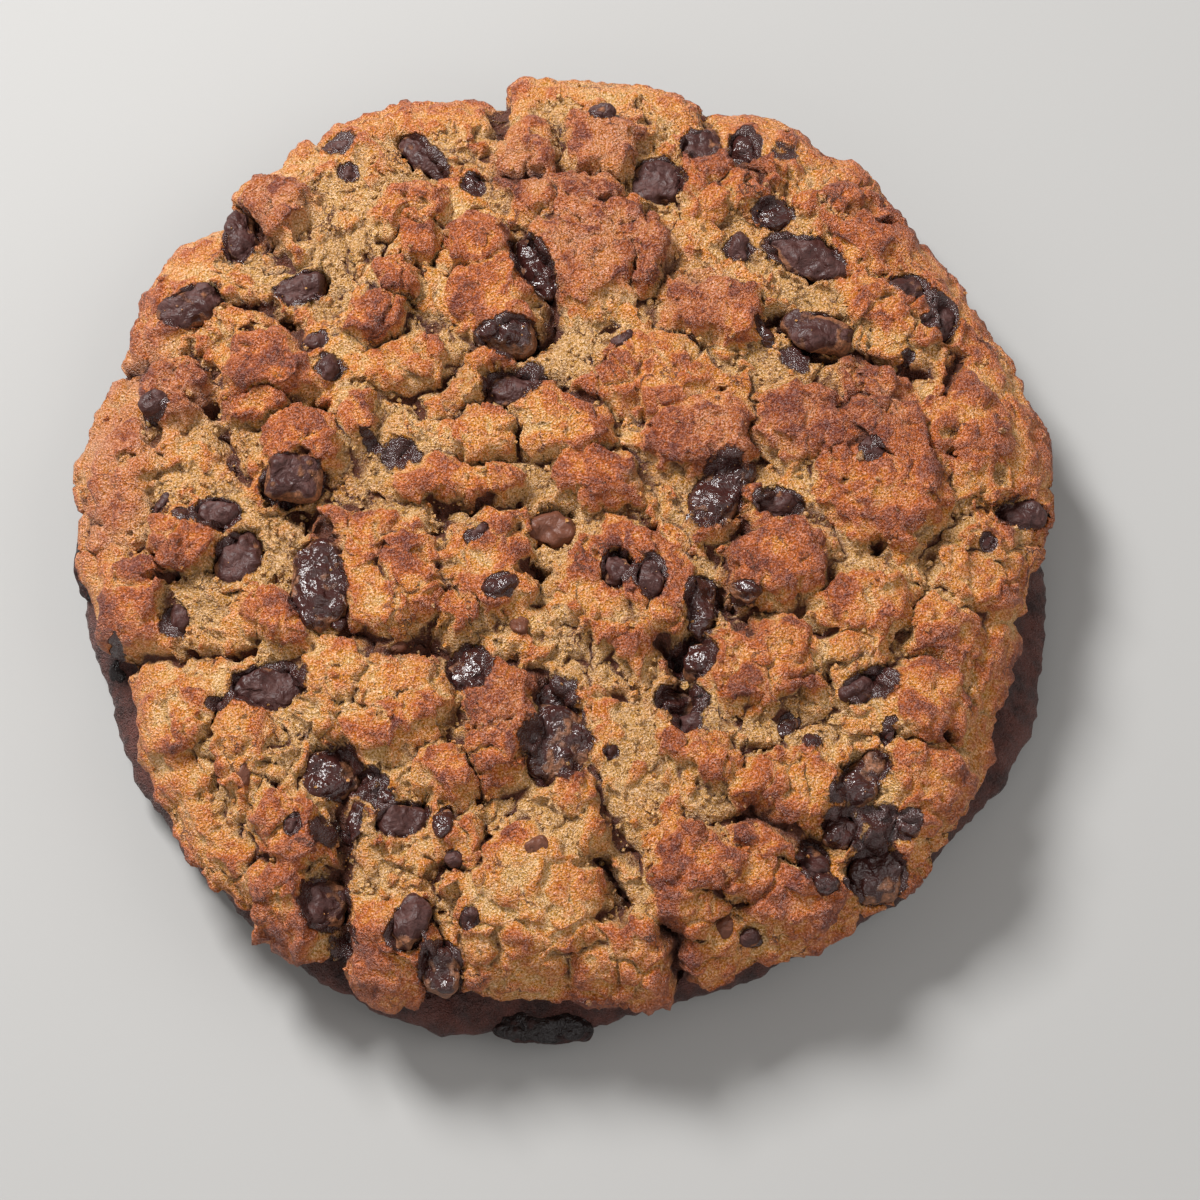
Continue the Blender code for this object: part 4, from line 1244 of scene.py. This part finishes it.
def crust_field(points, bent, lumps, rim, smooth_rim):
    """Where the crust is whole and where the crumb is open: the crust begins at about 0.1."""
    field = lumps / CRUST_RISE + uneven(points, "crust") + uneven(bent, "small_crust")
    tints = tint_share(points[:, 0], points[:, 1])
    field += uneven(bent, "fine_crust") + CRUST_BY_TINT * tints + CRUST_PLAIN
    return field + (CRUST_BY_RIM * rim + CRUST_BY_SMOOTH_RIM * smooth_rim)


def chunk_pockets(points, bend_x, bend_y):
    """How far inside the ragged pocket of a chunk each point is: 1 at its middle, 0 at its edge."""
    rows = [row[1:6] for row in CHUNKS]
    pocket = nearest_ellipse(points[:, 0] + bend_x, points[:, 1] + bend_y, rows, POCKET_GROWTH)
    near = pocket > POCKET_EDGE
    pocket[near] += uneven(points[near], "pocket_edge", "fine_pocket_edge")
    return pocket


def dough_relief(points, rim, smooth_rim):
    """How far each point of the top moves along its normal, with its browning, crust and the painted
    shade of its hollows.
    """
    bend_x, bend_y = uneven(points, "bend_x"), uneven(points, "bend_y")
    far_x = points[:, 0] + bend_x + uneven(points, "jag_x", "fine_jag_x")
    far_y = points[:, 1] + bend_y + uneven(points, "jag_y", "fine_jag_y")
    bent = np.stack([far_x, far_y, points[:, 2]], axis=1)
    lumps, browning, groove = lump_rise(far_x, far_y, uneven(points, "lump_edge", "fine_lump_edge"))
    filled = GROOVE_FILL * smooth_step(GROWN_TOGETHER - uneven(points, "grown_together"))
    lumps += GROOVE_DEPTH * MM * groove * filled
    groove *= 1.0 - filled
    cracks = crack_depth(far_x, far_y)
    crags = crests(bent, "crag", CREST_MEAN) + crests(bent, "small_crag", CREST_MEAN)
    crags *= 1.0 - SMOOTH_RIM_PLAIN * smooth_rim
    field = crust_field(points, bent, lumps, rim, smooth_rim)
    crust = rising(field, *PLATE_RANGE)
    near, next_near = cells(bent, SEAM_CELL, SEAM_SEED)
    seam = np.clip(1.0 - (next_near - near) / SEAM_WIDTH, 0.0, 1.0)
    seam *= smooth_step(SEAM_SHARE + uneven(points, "seam_place"))
    crumb = uneven(points, "grain", "fine_grain") + crests(bent, "crumb_crest", CRUMB_CREST_MEAN)
    crumb *= 1.0 - CRUST_CALM * crust
    pocket = chunk_pockets(points, bend_x, bend_y)
    lap = LAP_HEIGHT * np.exp(-(((pocket - LAP_PLACE) / LAP_WIDTH) ** 2))
    lap *= smooth_step(LAP_SHARE + uneven(points, "lap_place"))
    pits = smooth_step(nearest_ellipse(far_x, far_y, PITS, PIT_GROWTH) / PIT_FADE)
    dug = DIG_DEPTH * rising(pocket, *DIG_RANGE) + PIT_DEPTH * pits
    raised = lumps + crags + PLATE_HEIGHT * crust + crumb + lap
    lowered = CRACK_DEEPENING * cracks + SEAM_DEPTH * seam + TOP_LOWERED + dug
    # Painted shade in the cracks, seams, grooves and pits
    hollow_shade = cracks / CRACK_DARK_DEPTH + SEAM_DARK * seam + GROOVE_DARK * groove + PIT_DARK * pits
    stored = {
        "browning": browning,
        "crust": rising(field, *CRUST_COLOUR_RANGE),
        "hollow_shade": np.clip(hollow_shade, 0.0, HOLLOW_SHADE_MOST),
    }
    return raised - lowered, stored


def make_dough(settings):
    """The dough with its relief, browning and smears."""
    points, weights = plain_points(settings)
    obj = mesh_object("dough", points, dough_faces(settings.grid_cells, settings.side_rows))
    normals = point_array(obj.data, "normal")
    x, y, z = points.T
    angle = np.arctan2(y, x)
    lip = outline(angle, settings.lip_radius, LIP_OUTLINE)
    inward = np.minimum(1.0, lip / np.maximum(np.hypot(x, y), 1e-6))
    rim = rising(np.hypot(x, y) / lip, *RIM_RANGE)
    smooth_rim = rising(np.cos(angle - SMOOTH_RIM_ANGLE), *SMOOTH_RIM_RANGE)
    smooth_rim = rim * (SMOOTH_ELSEWHERE + (1.0 - SMOOTH_ELSEWHERE) * smooth_rim)
    amount, stored = dough_relief(np.stack([x * inward, y * inward, z], axis=1), rim, smooth_rim)
    above_base = smooth_step(z / BASE_FADE)
    foot_rough = uneven(points, "foot_swell") + crests(points * FOOT_SQUEEZE, "foot_bump", 0.0)
    foot_rough += uneven(points, "foot_grain")
    amount = weights * amount + (1.0 - weights) * above_base * foot_rough
    moved = points + normals * amount[:, None]
    squeezed = moved * SHEAR_SQUEEZE
    shear_x = uneven(squeezed, "shear_x", "fine_shear_x")
    shear_y = uneven(squeezed, "shear_y", "fine_shear_y")
    loose = above_base * np.maximum(weights, SIDE_SHEAR)
    loose *= 1.0 - SMOOTH_RIM_CALM * smooth_rim
    loose *= 1.0 - RIM_CALM * rim
    moved[:, :2] += np.stack([shear_x, shear_y], axis=1) * loose[:, None]
    moved[:, 2] = np.where(z <= 0.0, 0.0, np.maximum(moved[:, 2], LEAST_HEIGHT))
    obj.data.vertices.foreach_set("co", moved.ravel())
    obj.data.update()
    for name, values in {**stored, "weight": weights, "rim": rim}.items():
        store(obj.data, name, values)
    apply_modifier(obj, "TRIANGULATE")
    apply_modifier(obj, "DECIMATE", ratio=settings.triangles / len(obj.data.polygons))
    colour_dough(obj.data)
    fit_to_frame(obj)
    return obj


def read(mesh, name):
    """A stored number for every point."""
    values = np.empty(len(mesh.vertices), np.float32)
    mesh.attributes[name].data.foreach_get("value", values)
    return values.astype(float)


def browned(mesh, points, patches):
    """The browning of each point, and how far it stands proud of its wide surroundings in mm."""
    normals = point_array(mesh, "normal")
    near = np.stack([neighbour_mean(mesh, column, NEAR_ROUNDS) for column in points.T], axis=1)
    wide = np.stack([neighbour_mean(mesh, column, WIDE_ROUNDS) for column in points.T], axis=1)
    proud_near = ((points - near) * normals).sum(axis=1) / MM
    proud_wide = ((points - wide) * normals).sum(axis=1) / MM
    crust, browning = read(mesh, "crust"), read(mesh, "browning")
    tone = TONE_PLAIN + TONE_CRUST * crust + TONE_LUMP * browning**TONE_LUMP_POWER
    tone += TONE_WIDE * np.clip(proud_wide, -PROUD_WIDE_MOST, PROUD_WIDE_MOST)
    tone += TONE_NEAR * np.clip(proud_near, -PROUD_NEAR_MOST, PROUD_NEAR_MOST)
    tone += uneven(points, "broad_tone") + TONE_PATCHES * patches + TONE_RIM * read(mesh, "rim")
    scorched = rising(uneven(points, "scorch"), *SCORCH_RANGE) * crust
    well_browned = np.clip(browning + SCORCH_PROUD * proud_wide, 0.0, 1.0)
    tone += scorched * (SCORCH_PLAIN + SCORCH_BROWNED * well_browned)
    # Broad patches, partly painted shade towards the back right
    tone += tint_share(points[:, 0], points[:, 1])
    start, room = TONE_EASE
    return np.where(tone > start, start + room * np.tanh((tone - start) / room), tone), proud_wide


def colour_dough(mesh):
    """Browning on what stands proud, smears by the chocolate, painted shade in the hollows and the dark
    foot with painted shade under the lip.
    """
    points = point_array(mesh)
    x, y, z = points.T
    patches = uneven(points, "patches")
    tone, proud_wide = browned(mesh, points, patches)
    smear = smear_share(x, y) * read(mesh, "weight")
    smear += (SMEAR_PATCHES * patches + uneven(points, "smear_edge")) * (smear > SMEAR_LEAST)
    mauve = MAUVE_GAIN * nearest_ellipse(x, y, round_patches(MAUVE), MAUVE_GROWTH)
    # Upper edge of the dark band: burnt foot, with painted shade in the waist under the lip
    dark_foot_and_shade_top = FOOT_AND_LIP_SHADE_TOP + uneven(points, "dark_foot_and_shade_top")
    # Painted shade: the hollows, and what lies below its wide surroundings
    hollow_shade = HOLLOW_SHADE_SHARE * read(mesh, "hollow_shade") + np.clip(HOLLOW_SHADE_START - proud_wide, 0.0, 1.0)
    store(mesh, "mauve", np.clip(mauve, 0.0, 1.0))
    store(mesh, "tone", tone)
    store(mesh, "foot", smooth_step((dark_foot_and_shade_top - z) / FOOT_AND_LIP_SHADE_FADE))
    store(mesh, "smear", smear)
    mesh.attributes["hollow_shade"].data.foreach_set("value", hollow_shade.astype(np.float32))


def fit_to_frame(obj):
    """Moves the dough into the frame's box, eases its crown under the top and smooths its shading."""
    obj.data.transform(Matrix.Translation(BOX_SHIFT))
    points = point_array(obj.data)
    level = CAD_BOX[1][2] - CROWN_EASE
    over = points[:, 2] > level
    points[over, 2] = level + CROWN_EASE * np.tanh((points[over, 2] - level) / CROWN_EASE)
    obj.data.vertices.foreach_set("co", points.ravel())
    kept_in_box(obj.data)
    obj.data.shade_smooth()


def kept_in_box(mesh):
    """Presses in what stands out of the frame's box by a hair."""
    low, high = (np.array(corner) for corner in CAD_BOX)
    points = np.clip(point_array(mesh), low + BOX_CLEARANCE, high - BOX_CLEARANCE)
    mesh.vertices.foreach_set("co", points.ravel())
    mesh.update()


def dressed(obj, material, slot, *nodes):
    """Gives a finished piece its material and body, and hides the nodes that it stands for. The slot is
    not used.
    """
    kept_in_box(obj.data)
    obj.data.materials.clear()
    obj.data.materials.append(material)
    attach(obj, ROOT_BODY)
    if nodes:
        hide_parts(*nodes)


def chunk_piece(node_name, shape, seed):
    """A finer piece from a chunk's solid: merged, swelled to fill its pocket and roughened."""
    mesh = bpy.data.meshes.new("piece_" + node_name)
    body = bmesh.new()
    body.from_mesh(frame["nodes"][node_name].data)
    bmesh.ops.remove_doubles(body, verts=body.verts[:], dist=1e-6)
    middle = sum((vert.co for vert in body.verts), Vector()) / len(body.verts)
    for vert in body.verts:
        vert.co = middle + (vert.co - middle) * POCKET_SWELL
    body.to_mesh(mesh)
    body.free()
    obj = bpy.data.objects.new("piece_" + node_name, mesh)
    bpy.context.scene.collection.objects.link(obj)
    apply_modifier(obj, "SUBSURF", subdivision_type="SIMPLE", levels=1, render_levels=1)
    apply_modifier(obj, "SUBSURF", levels=2, render_levels=2)
    roughen(obj.data, shape, seed)
    crumb_film(obj.data, shape, seed)
    obj.data.shade_smooth()
    return obj


def roughen(mesh, shape, seed):
    """Uneven swellings along the surface, with finer ones on them."""
    wave, depth, first = shape
    points = point_array(mesh)
    amount = depth * rough(points, wave, first + seed)
    amount += FINER_SHARE * depth * rough(points, FINER_SHARE * wave, first + seed + FINER_SEED)
    mesh.vertices.foreach_set("co", (points + point_array(mesh, "normal") * amount[:, None]).ravel())
    mesh.update()


def crumb_film(mesh, shape, seed):
    """Where dough sticks to the chocolate: in patches, and more of it low on the sides."""
    points = point_array(mesh)
    below_top = (points[:, 2].max() - points[:, 2]) / MM
    film = FILM_BELOW_TOP * below_top
    for strength, wave, later in FILM_PATCHES:
        film += strength * rough(points, wave, shape[2] + seed + later)
    store(mesh, "film", np.clip(film - FILM_START, 0.0, 1.0))


class COOKIE_OT_dough(Operator):
    """Makes the craggy dough"""

    bl_idname = "cookie.dough"
    bl_label = "Dough"

    def execute(self, context):
        settings = context.scene.cookie_dough
        dough = make_dough(settings)
        dressed(dough, dough_material(settings, context.scene.cookie_chocolate), "dough", "cookie")
        return {"FINISHED"}


class COOKIE_OT_chunks(Operator):
    """Makes the chocolate chunks and the burnt drips"""

    bl_idname = "cookie.chunks"
    bl_label = "Chocolate chunks"

    def execute(self, context):
        finishes = chocolate_materials(context.scene.cookie_chocolate)
        for seed, (name, *_, finish) in enumerate(CHUNKS):
            dressed(chunk_piece(name, CHUNK_UNEVEN, seed), finishes[finish], SLOTS[finish], name)
        for seed, name in enumerate(SIDE_CHUNKS):
            dressed(chunk_piece(name, BURNT_UNEVEN, seed), finishes["burnt"], SLOTS["burnt"], name)
        return {"FINISHED"}


class Ground:
    """The finished top, for things that lie on it."""

    def __init__(self, names):
        points, self.faces = [], []
        for name in names:
            mesh = bpy.data.objects[name].data
            start = len(points)
            points.extend(vert.co.copy() for vert in mesh.vertices)
            self.faces.extend([start + index for index in face.vertices] for face in mesh.polygons)
        self.tree = BVHTree.FromPolygons(points, self.faces)

    def under(self, x, y):
        """Place, normal and a vertex of the face under a point of the plan."""
        start = Vector((x, y, RAY_START))
        place, normal, face, _ = self.tree.ray_cast(start, Vector((0.0, 0.0, -1.0)))
        return place, normal, self.faces[face][0] if face is not None else None


def make_chip(place, normal, row):
    """One small chip that leans with the ground it lies on, partly sunk."""
    _, _, length, width, turn, _ = row
    upright = Vector((0.0, 0.0, 1.0))
    lean = normal.lerp(upright, CHIP_UPRIGHT).normalized()
    thick = CHIP_THICKNESS_SHARE * min(length, width) + CHIP_THICKNESS
    bpy.ops.object.select_all(action="DESELECT")
    bpy.ops.mesh.primitive_ico_sphere_add(subdivisions=4, radius=0.5, location=(0.0, 0.0, 0.0))
    chip = bpy.context.active_object
    sizes = Matrix.Diagonal((length * MM, width * MM, thick * MM, 1.0))
    at = Matrix.Translation(place - lean * (CHIP_SUNK * thick * MM))
    tilt = upright.rotation_difference(lean).to_matrix().to_4x4()
    chip.data.transform(at @ tilt @ Matrix.Rotation(math.radians(turn), 4, "Z") @ sizes)
    return chip


def make_chips(ground, finish):
    """The small chocolate of one finish as one piece."""
    made = []
    for seed, row in enumerate(CHIPS):
        if row[-1] != finish:
            continue
        true_x, true_y = placed(*row[:2])
        place, normal, _ = ground.under(true_x * MM + BOX_SHIFT[0], true_y * MM + BOX_SHIFT[1])
        if place is None:
            continue
        chip = make_chip(place, normal, row)
        roughen(chip.data, CHIP_UNEVEN, seed)
        crumb_film(chip.data, CHIP_UNEVEN, seed)
        made.append(chip)
    for chip in made:
        chip.select_set(True)
    bpy.context.view_layer.objects.active = made[0]
    if len(made) > 1:
        bpy.ops.object.join()
    piece = bpy.context.active_object
    piece.name = "chips_" + finish
    piece.data.shade_smooth()
    return piece


def crumb_shape(draw, shape, size):
    """One crumb's corners round its middle, stretched, uneven and turned at random."""
    stretch = np.array([size * draw.uniform(*CRUMB_STRETCH) for _ in range(3)])
    corners = np.array([draw.uniform(*CORNER_STRETCH) for _ in range(len(shape))])
    turn = draw.uniform(0.0, CRUMB_TURN)
    axis = Vector((draw.uniform(-1.0, 1.0), draw.uniform(-1.0, 1.0), draw.uniform(0.1, 1.0)))
    return (shape * corners[:, None] * stretch) @ np.array(Matrix.Rotation(turn, 3, axis))


def make_crumbs(settings, ground, dough):
    """Loose crumbs, half sunk, in the browning of the dough that they lie on."""
    draw = random.Random(CRUMB_SEED)
    bpy.ops.object.select_all(action="DESELECT")
    bpy.ops.mesh.primitive_ico_sphere_add(subdivisions=1, radius=0.5, location=(0.0, 0.0, 0.0))
    pattern = bpy.context.active_object
    shape = point_array(pattern.data)
    sides = np.array([face.vertices[:] for face in pattern.data.polygons])
    bpy.data.objects.remove(pattern, do_unlink=True)
    stored = {name: read(dough.data, name) for name in ("tone", "crust", "smear")}
    points, faces, kept = [], [], []
    while len(points) < settings.crumbs:
        reach = settings.lip_radius * math.sqrt(draw.random())
        angle = draw.uniform(0.0, 2.0 * math.pi)
        place, normal, vertex = ground.under(reach * math.cos(angle), reach * math.sin(angle))
        pick = draw.random()
        if place is None or place.z < CRUMB_LOWEST or normal.z < CRUMB_STEEPEST:
            continue
        on_dough = vertex < len(dough.data.vertices)
        on_chocolate = not on_dough or stored["smear"][vertex] > CHOCOLATE_SMEAR
        if on_chocolate and pick > STAYS_ON_CHOCOLATE:
            continue
        if not on_chocolate and pick < SHED_BY_CRUST * stored["crust"][vertex]:
            continue
        size = MM * (settings.crumb_smallest + settings.crumb_spread * draw.random() ** 3)
        size *= SIZE_ON_CHOCOLATE if on_chocolate else 1.0
        turned = crumb_shape(draw, shape, size)
        faces.append(sides + len(points) * len(shape))
        points.append(turned + np.array(place + normal * CRUMB_RAISED * size))
        tone = TONE_ON_CHOCOLATE if on_chocolate else stored["tone"][vertex]
        kept.append((tone + draw.uniform(-TONE_STRAY, TONE_STRAY), draw.random()))
    obj = mesh_object("crumbs", np.concatenate(points), np.concatenate(faces).tolist())
    tone, crust = np.repeat(np.array(kept), len(shape), axis=0).T
    store(obj.data, "tone", tone)
    store(obj.data, "crust", crust)
    for name in ("hollow_shade", "foot", "smear", "mauve"):
        store(obj.data, name, np.zeros(len(tone)))
    return obj


class COOKIE_OT_chips(Operator):
    """Makes the small chocolate chips"""

    bl_idname = "cookie.chips"
    bl_label = "Small chips"

    def execute(self, context):
        ground = Ground(["dough"])
        for finish, material in FINISHES.items():
            dressed(make_chips(ground, finish), bpy.data.materials[material], SLOTS[finish])
        return {"FINISHED"}


class COOKIE_OT_crumbs(Operator):
    """Scatters the loose crumbs"""

    bl_idname = "cookie.crumbs"
    bl_label = "Crumbs"

    def execute(self, context):
        ground = Ground(["dough"] + ["piece_" + row[0] for row in CHUNKS])
        crumbs = make_crumbs(context.scene.cookie_dough, ground, bpy.data.objects["dough"])
        dressed(crumbs, bpy.data.materials["baked_dough"], "dough")
        return {"FINISHED"}


class COOKIE_OT_stage(Operator):
    """Makes the floor, the lights and the camera"""

    bl_idname = "cookie.stage"
    bl_label = "Stage"

    def execute(self, context):
        settings = context.scene.cookie_stage
        bpy.ops.object.select_all(action="DESELECT")
        bpy.ops.mesh.primitive_plane_add(size=settings.floor_size, location=(0.0, 0.0, 0.0))
        floor = context.active_object
        floor.name = "floor"
        floor.data.materials.append(floor_material(settings.floor_colour))
        for light in LIGHTS:
            area_light(*light)
        world = bpy.data.worlds.new("studio")
        world.use_nodes = True
        room = world.node_tree.nodes["Background"]
        room.inputs["Color"].default_value = (*settings.room_colour, 1.0)
        room.inputs["Strength"].default_value = settings.room_strength
        context.scene.world = world
        context.scene.view_settings.view_transform = "Standard"
        lens = bpy.data.cameras.new("camera")
        lens.lens = settings.lens
        camera = bpy.data.objects.new("camera", lens)
        context.scene.collection.objects.link(camera)
        aim = Vector(settings.aim)
        back = Vector((0.0, -math.cos(settings.elevation), math.sin(settings.elevation)))
        camera.location = aim + back * settings.distance
        camera.rotation_euler = back.to_track_quat("Z", "Y").to_euler()
        context.scene.camera = camera
        return {"FINISHED"}


def floor_material(colour):
    """Plain pale paper."""
    made, tree, shader = new_material("pale_floor", 0.8)
    mottle = spread(tree, object_noise(tree, FLOOR_SCALE, detail=2.0), 0.0, 1.0)
    darker = tuple(FLOOR_SHADE * value for value in colour)
    tree.links.new(blend_colour(tree, mottle, tuple(colour), darker), shader.inputs["Base Color"])
    return made


def area_light(name, place, size, power):
    """A soft square light that faces the cookie."""
    lamp = bpy.data.lights.new(name, "AREA")
    lamp.size = size
    lamp.energy = power
    made = bpy.data.objects.new(name, lamp)
    bpy.context.scene.collection.objects.link(made)
    made.location = place
    made.rotation_euler = Vector(place).to_track_quat("Z", "Y").to_euler()


class COOKIE_PT_panel(Panel):
    """Lists the cookie's settings and operators."""

    bl_idname = "COOKIE_PT_panel"
    bl_label = "Chocolate Chip Cookie"
    bl_space_type = "VIEW_3D"
    bl_region_type = "UI"
    bl_category = "Cookie"

    def draw(self, context):
        for group in (getattr(context.scene, name) for name in GROUPS):
            box = self.layout.box()
            for name in group.__annotations__:
                box.prop(group, name)
        for operator in OPERATORS:
            self.layout.operator(operator.bl_idname)


GROUPS = {
    "cookie_dough": DoughSettings,
    "cookie_chocolate": ChocolateSettings,
    "cookie_stage": StageSettings,
}
OPERATORS = (COOKIE_OT_dough, COOKIE_OT_chunks, COOKIE_OT_chips, COOKIE_OT_crumbs, COOKIE_OT_stage)


def register():
    """Adds the settings, the operators and the panel to Blender."""
    for made in (*GROUPS.values(), *OPERATORS, COOKIE_PT_panel):
        bpy.utils.register_class(made)
    for name, group in GROUPS.items():
        setattr(bpy.types.Scene, name, PointerProperty(type=group))


def unregister():
    """Takes them out again."""
    for name in GROUPS:
        delattr(bpy.types.Scene, name)
    for made in reversed((*GROUPS.values(), *OPERATORS, COOKIE_PT_panel)):
        bpy.utils.unregister_class(made)


def main():
    """Makes every piece and the stage."""
    register()
    bpy.ops.cookie.dough()
    bpy.ops.cookie.chunks()
    bpy.ops.cookie.chips()
    bpy.ops.cookie.crumbs()
    bpy.ops.cookie.stage()


if __name__ == "__main__":
    main()
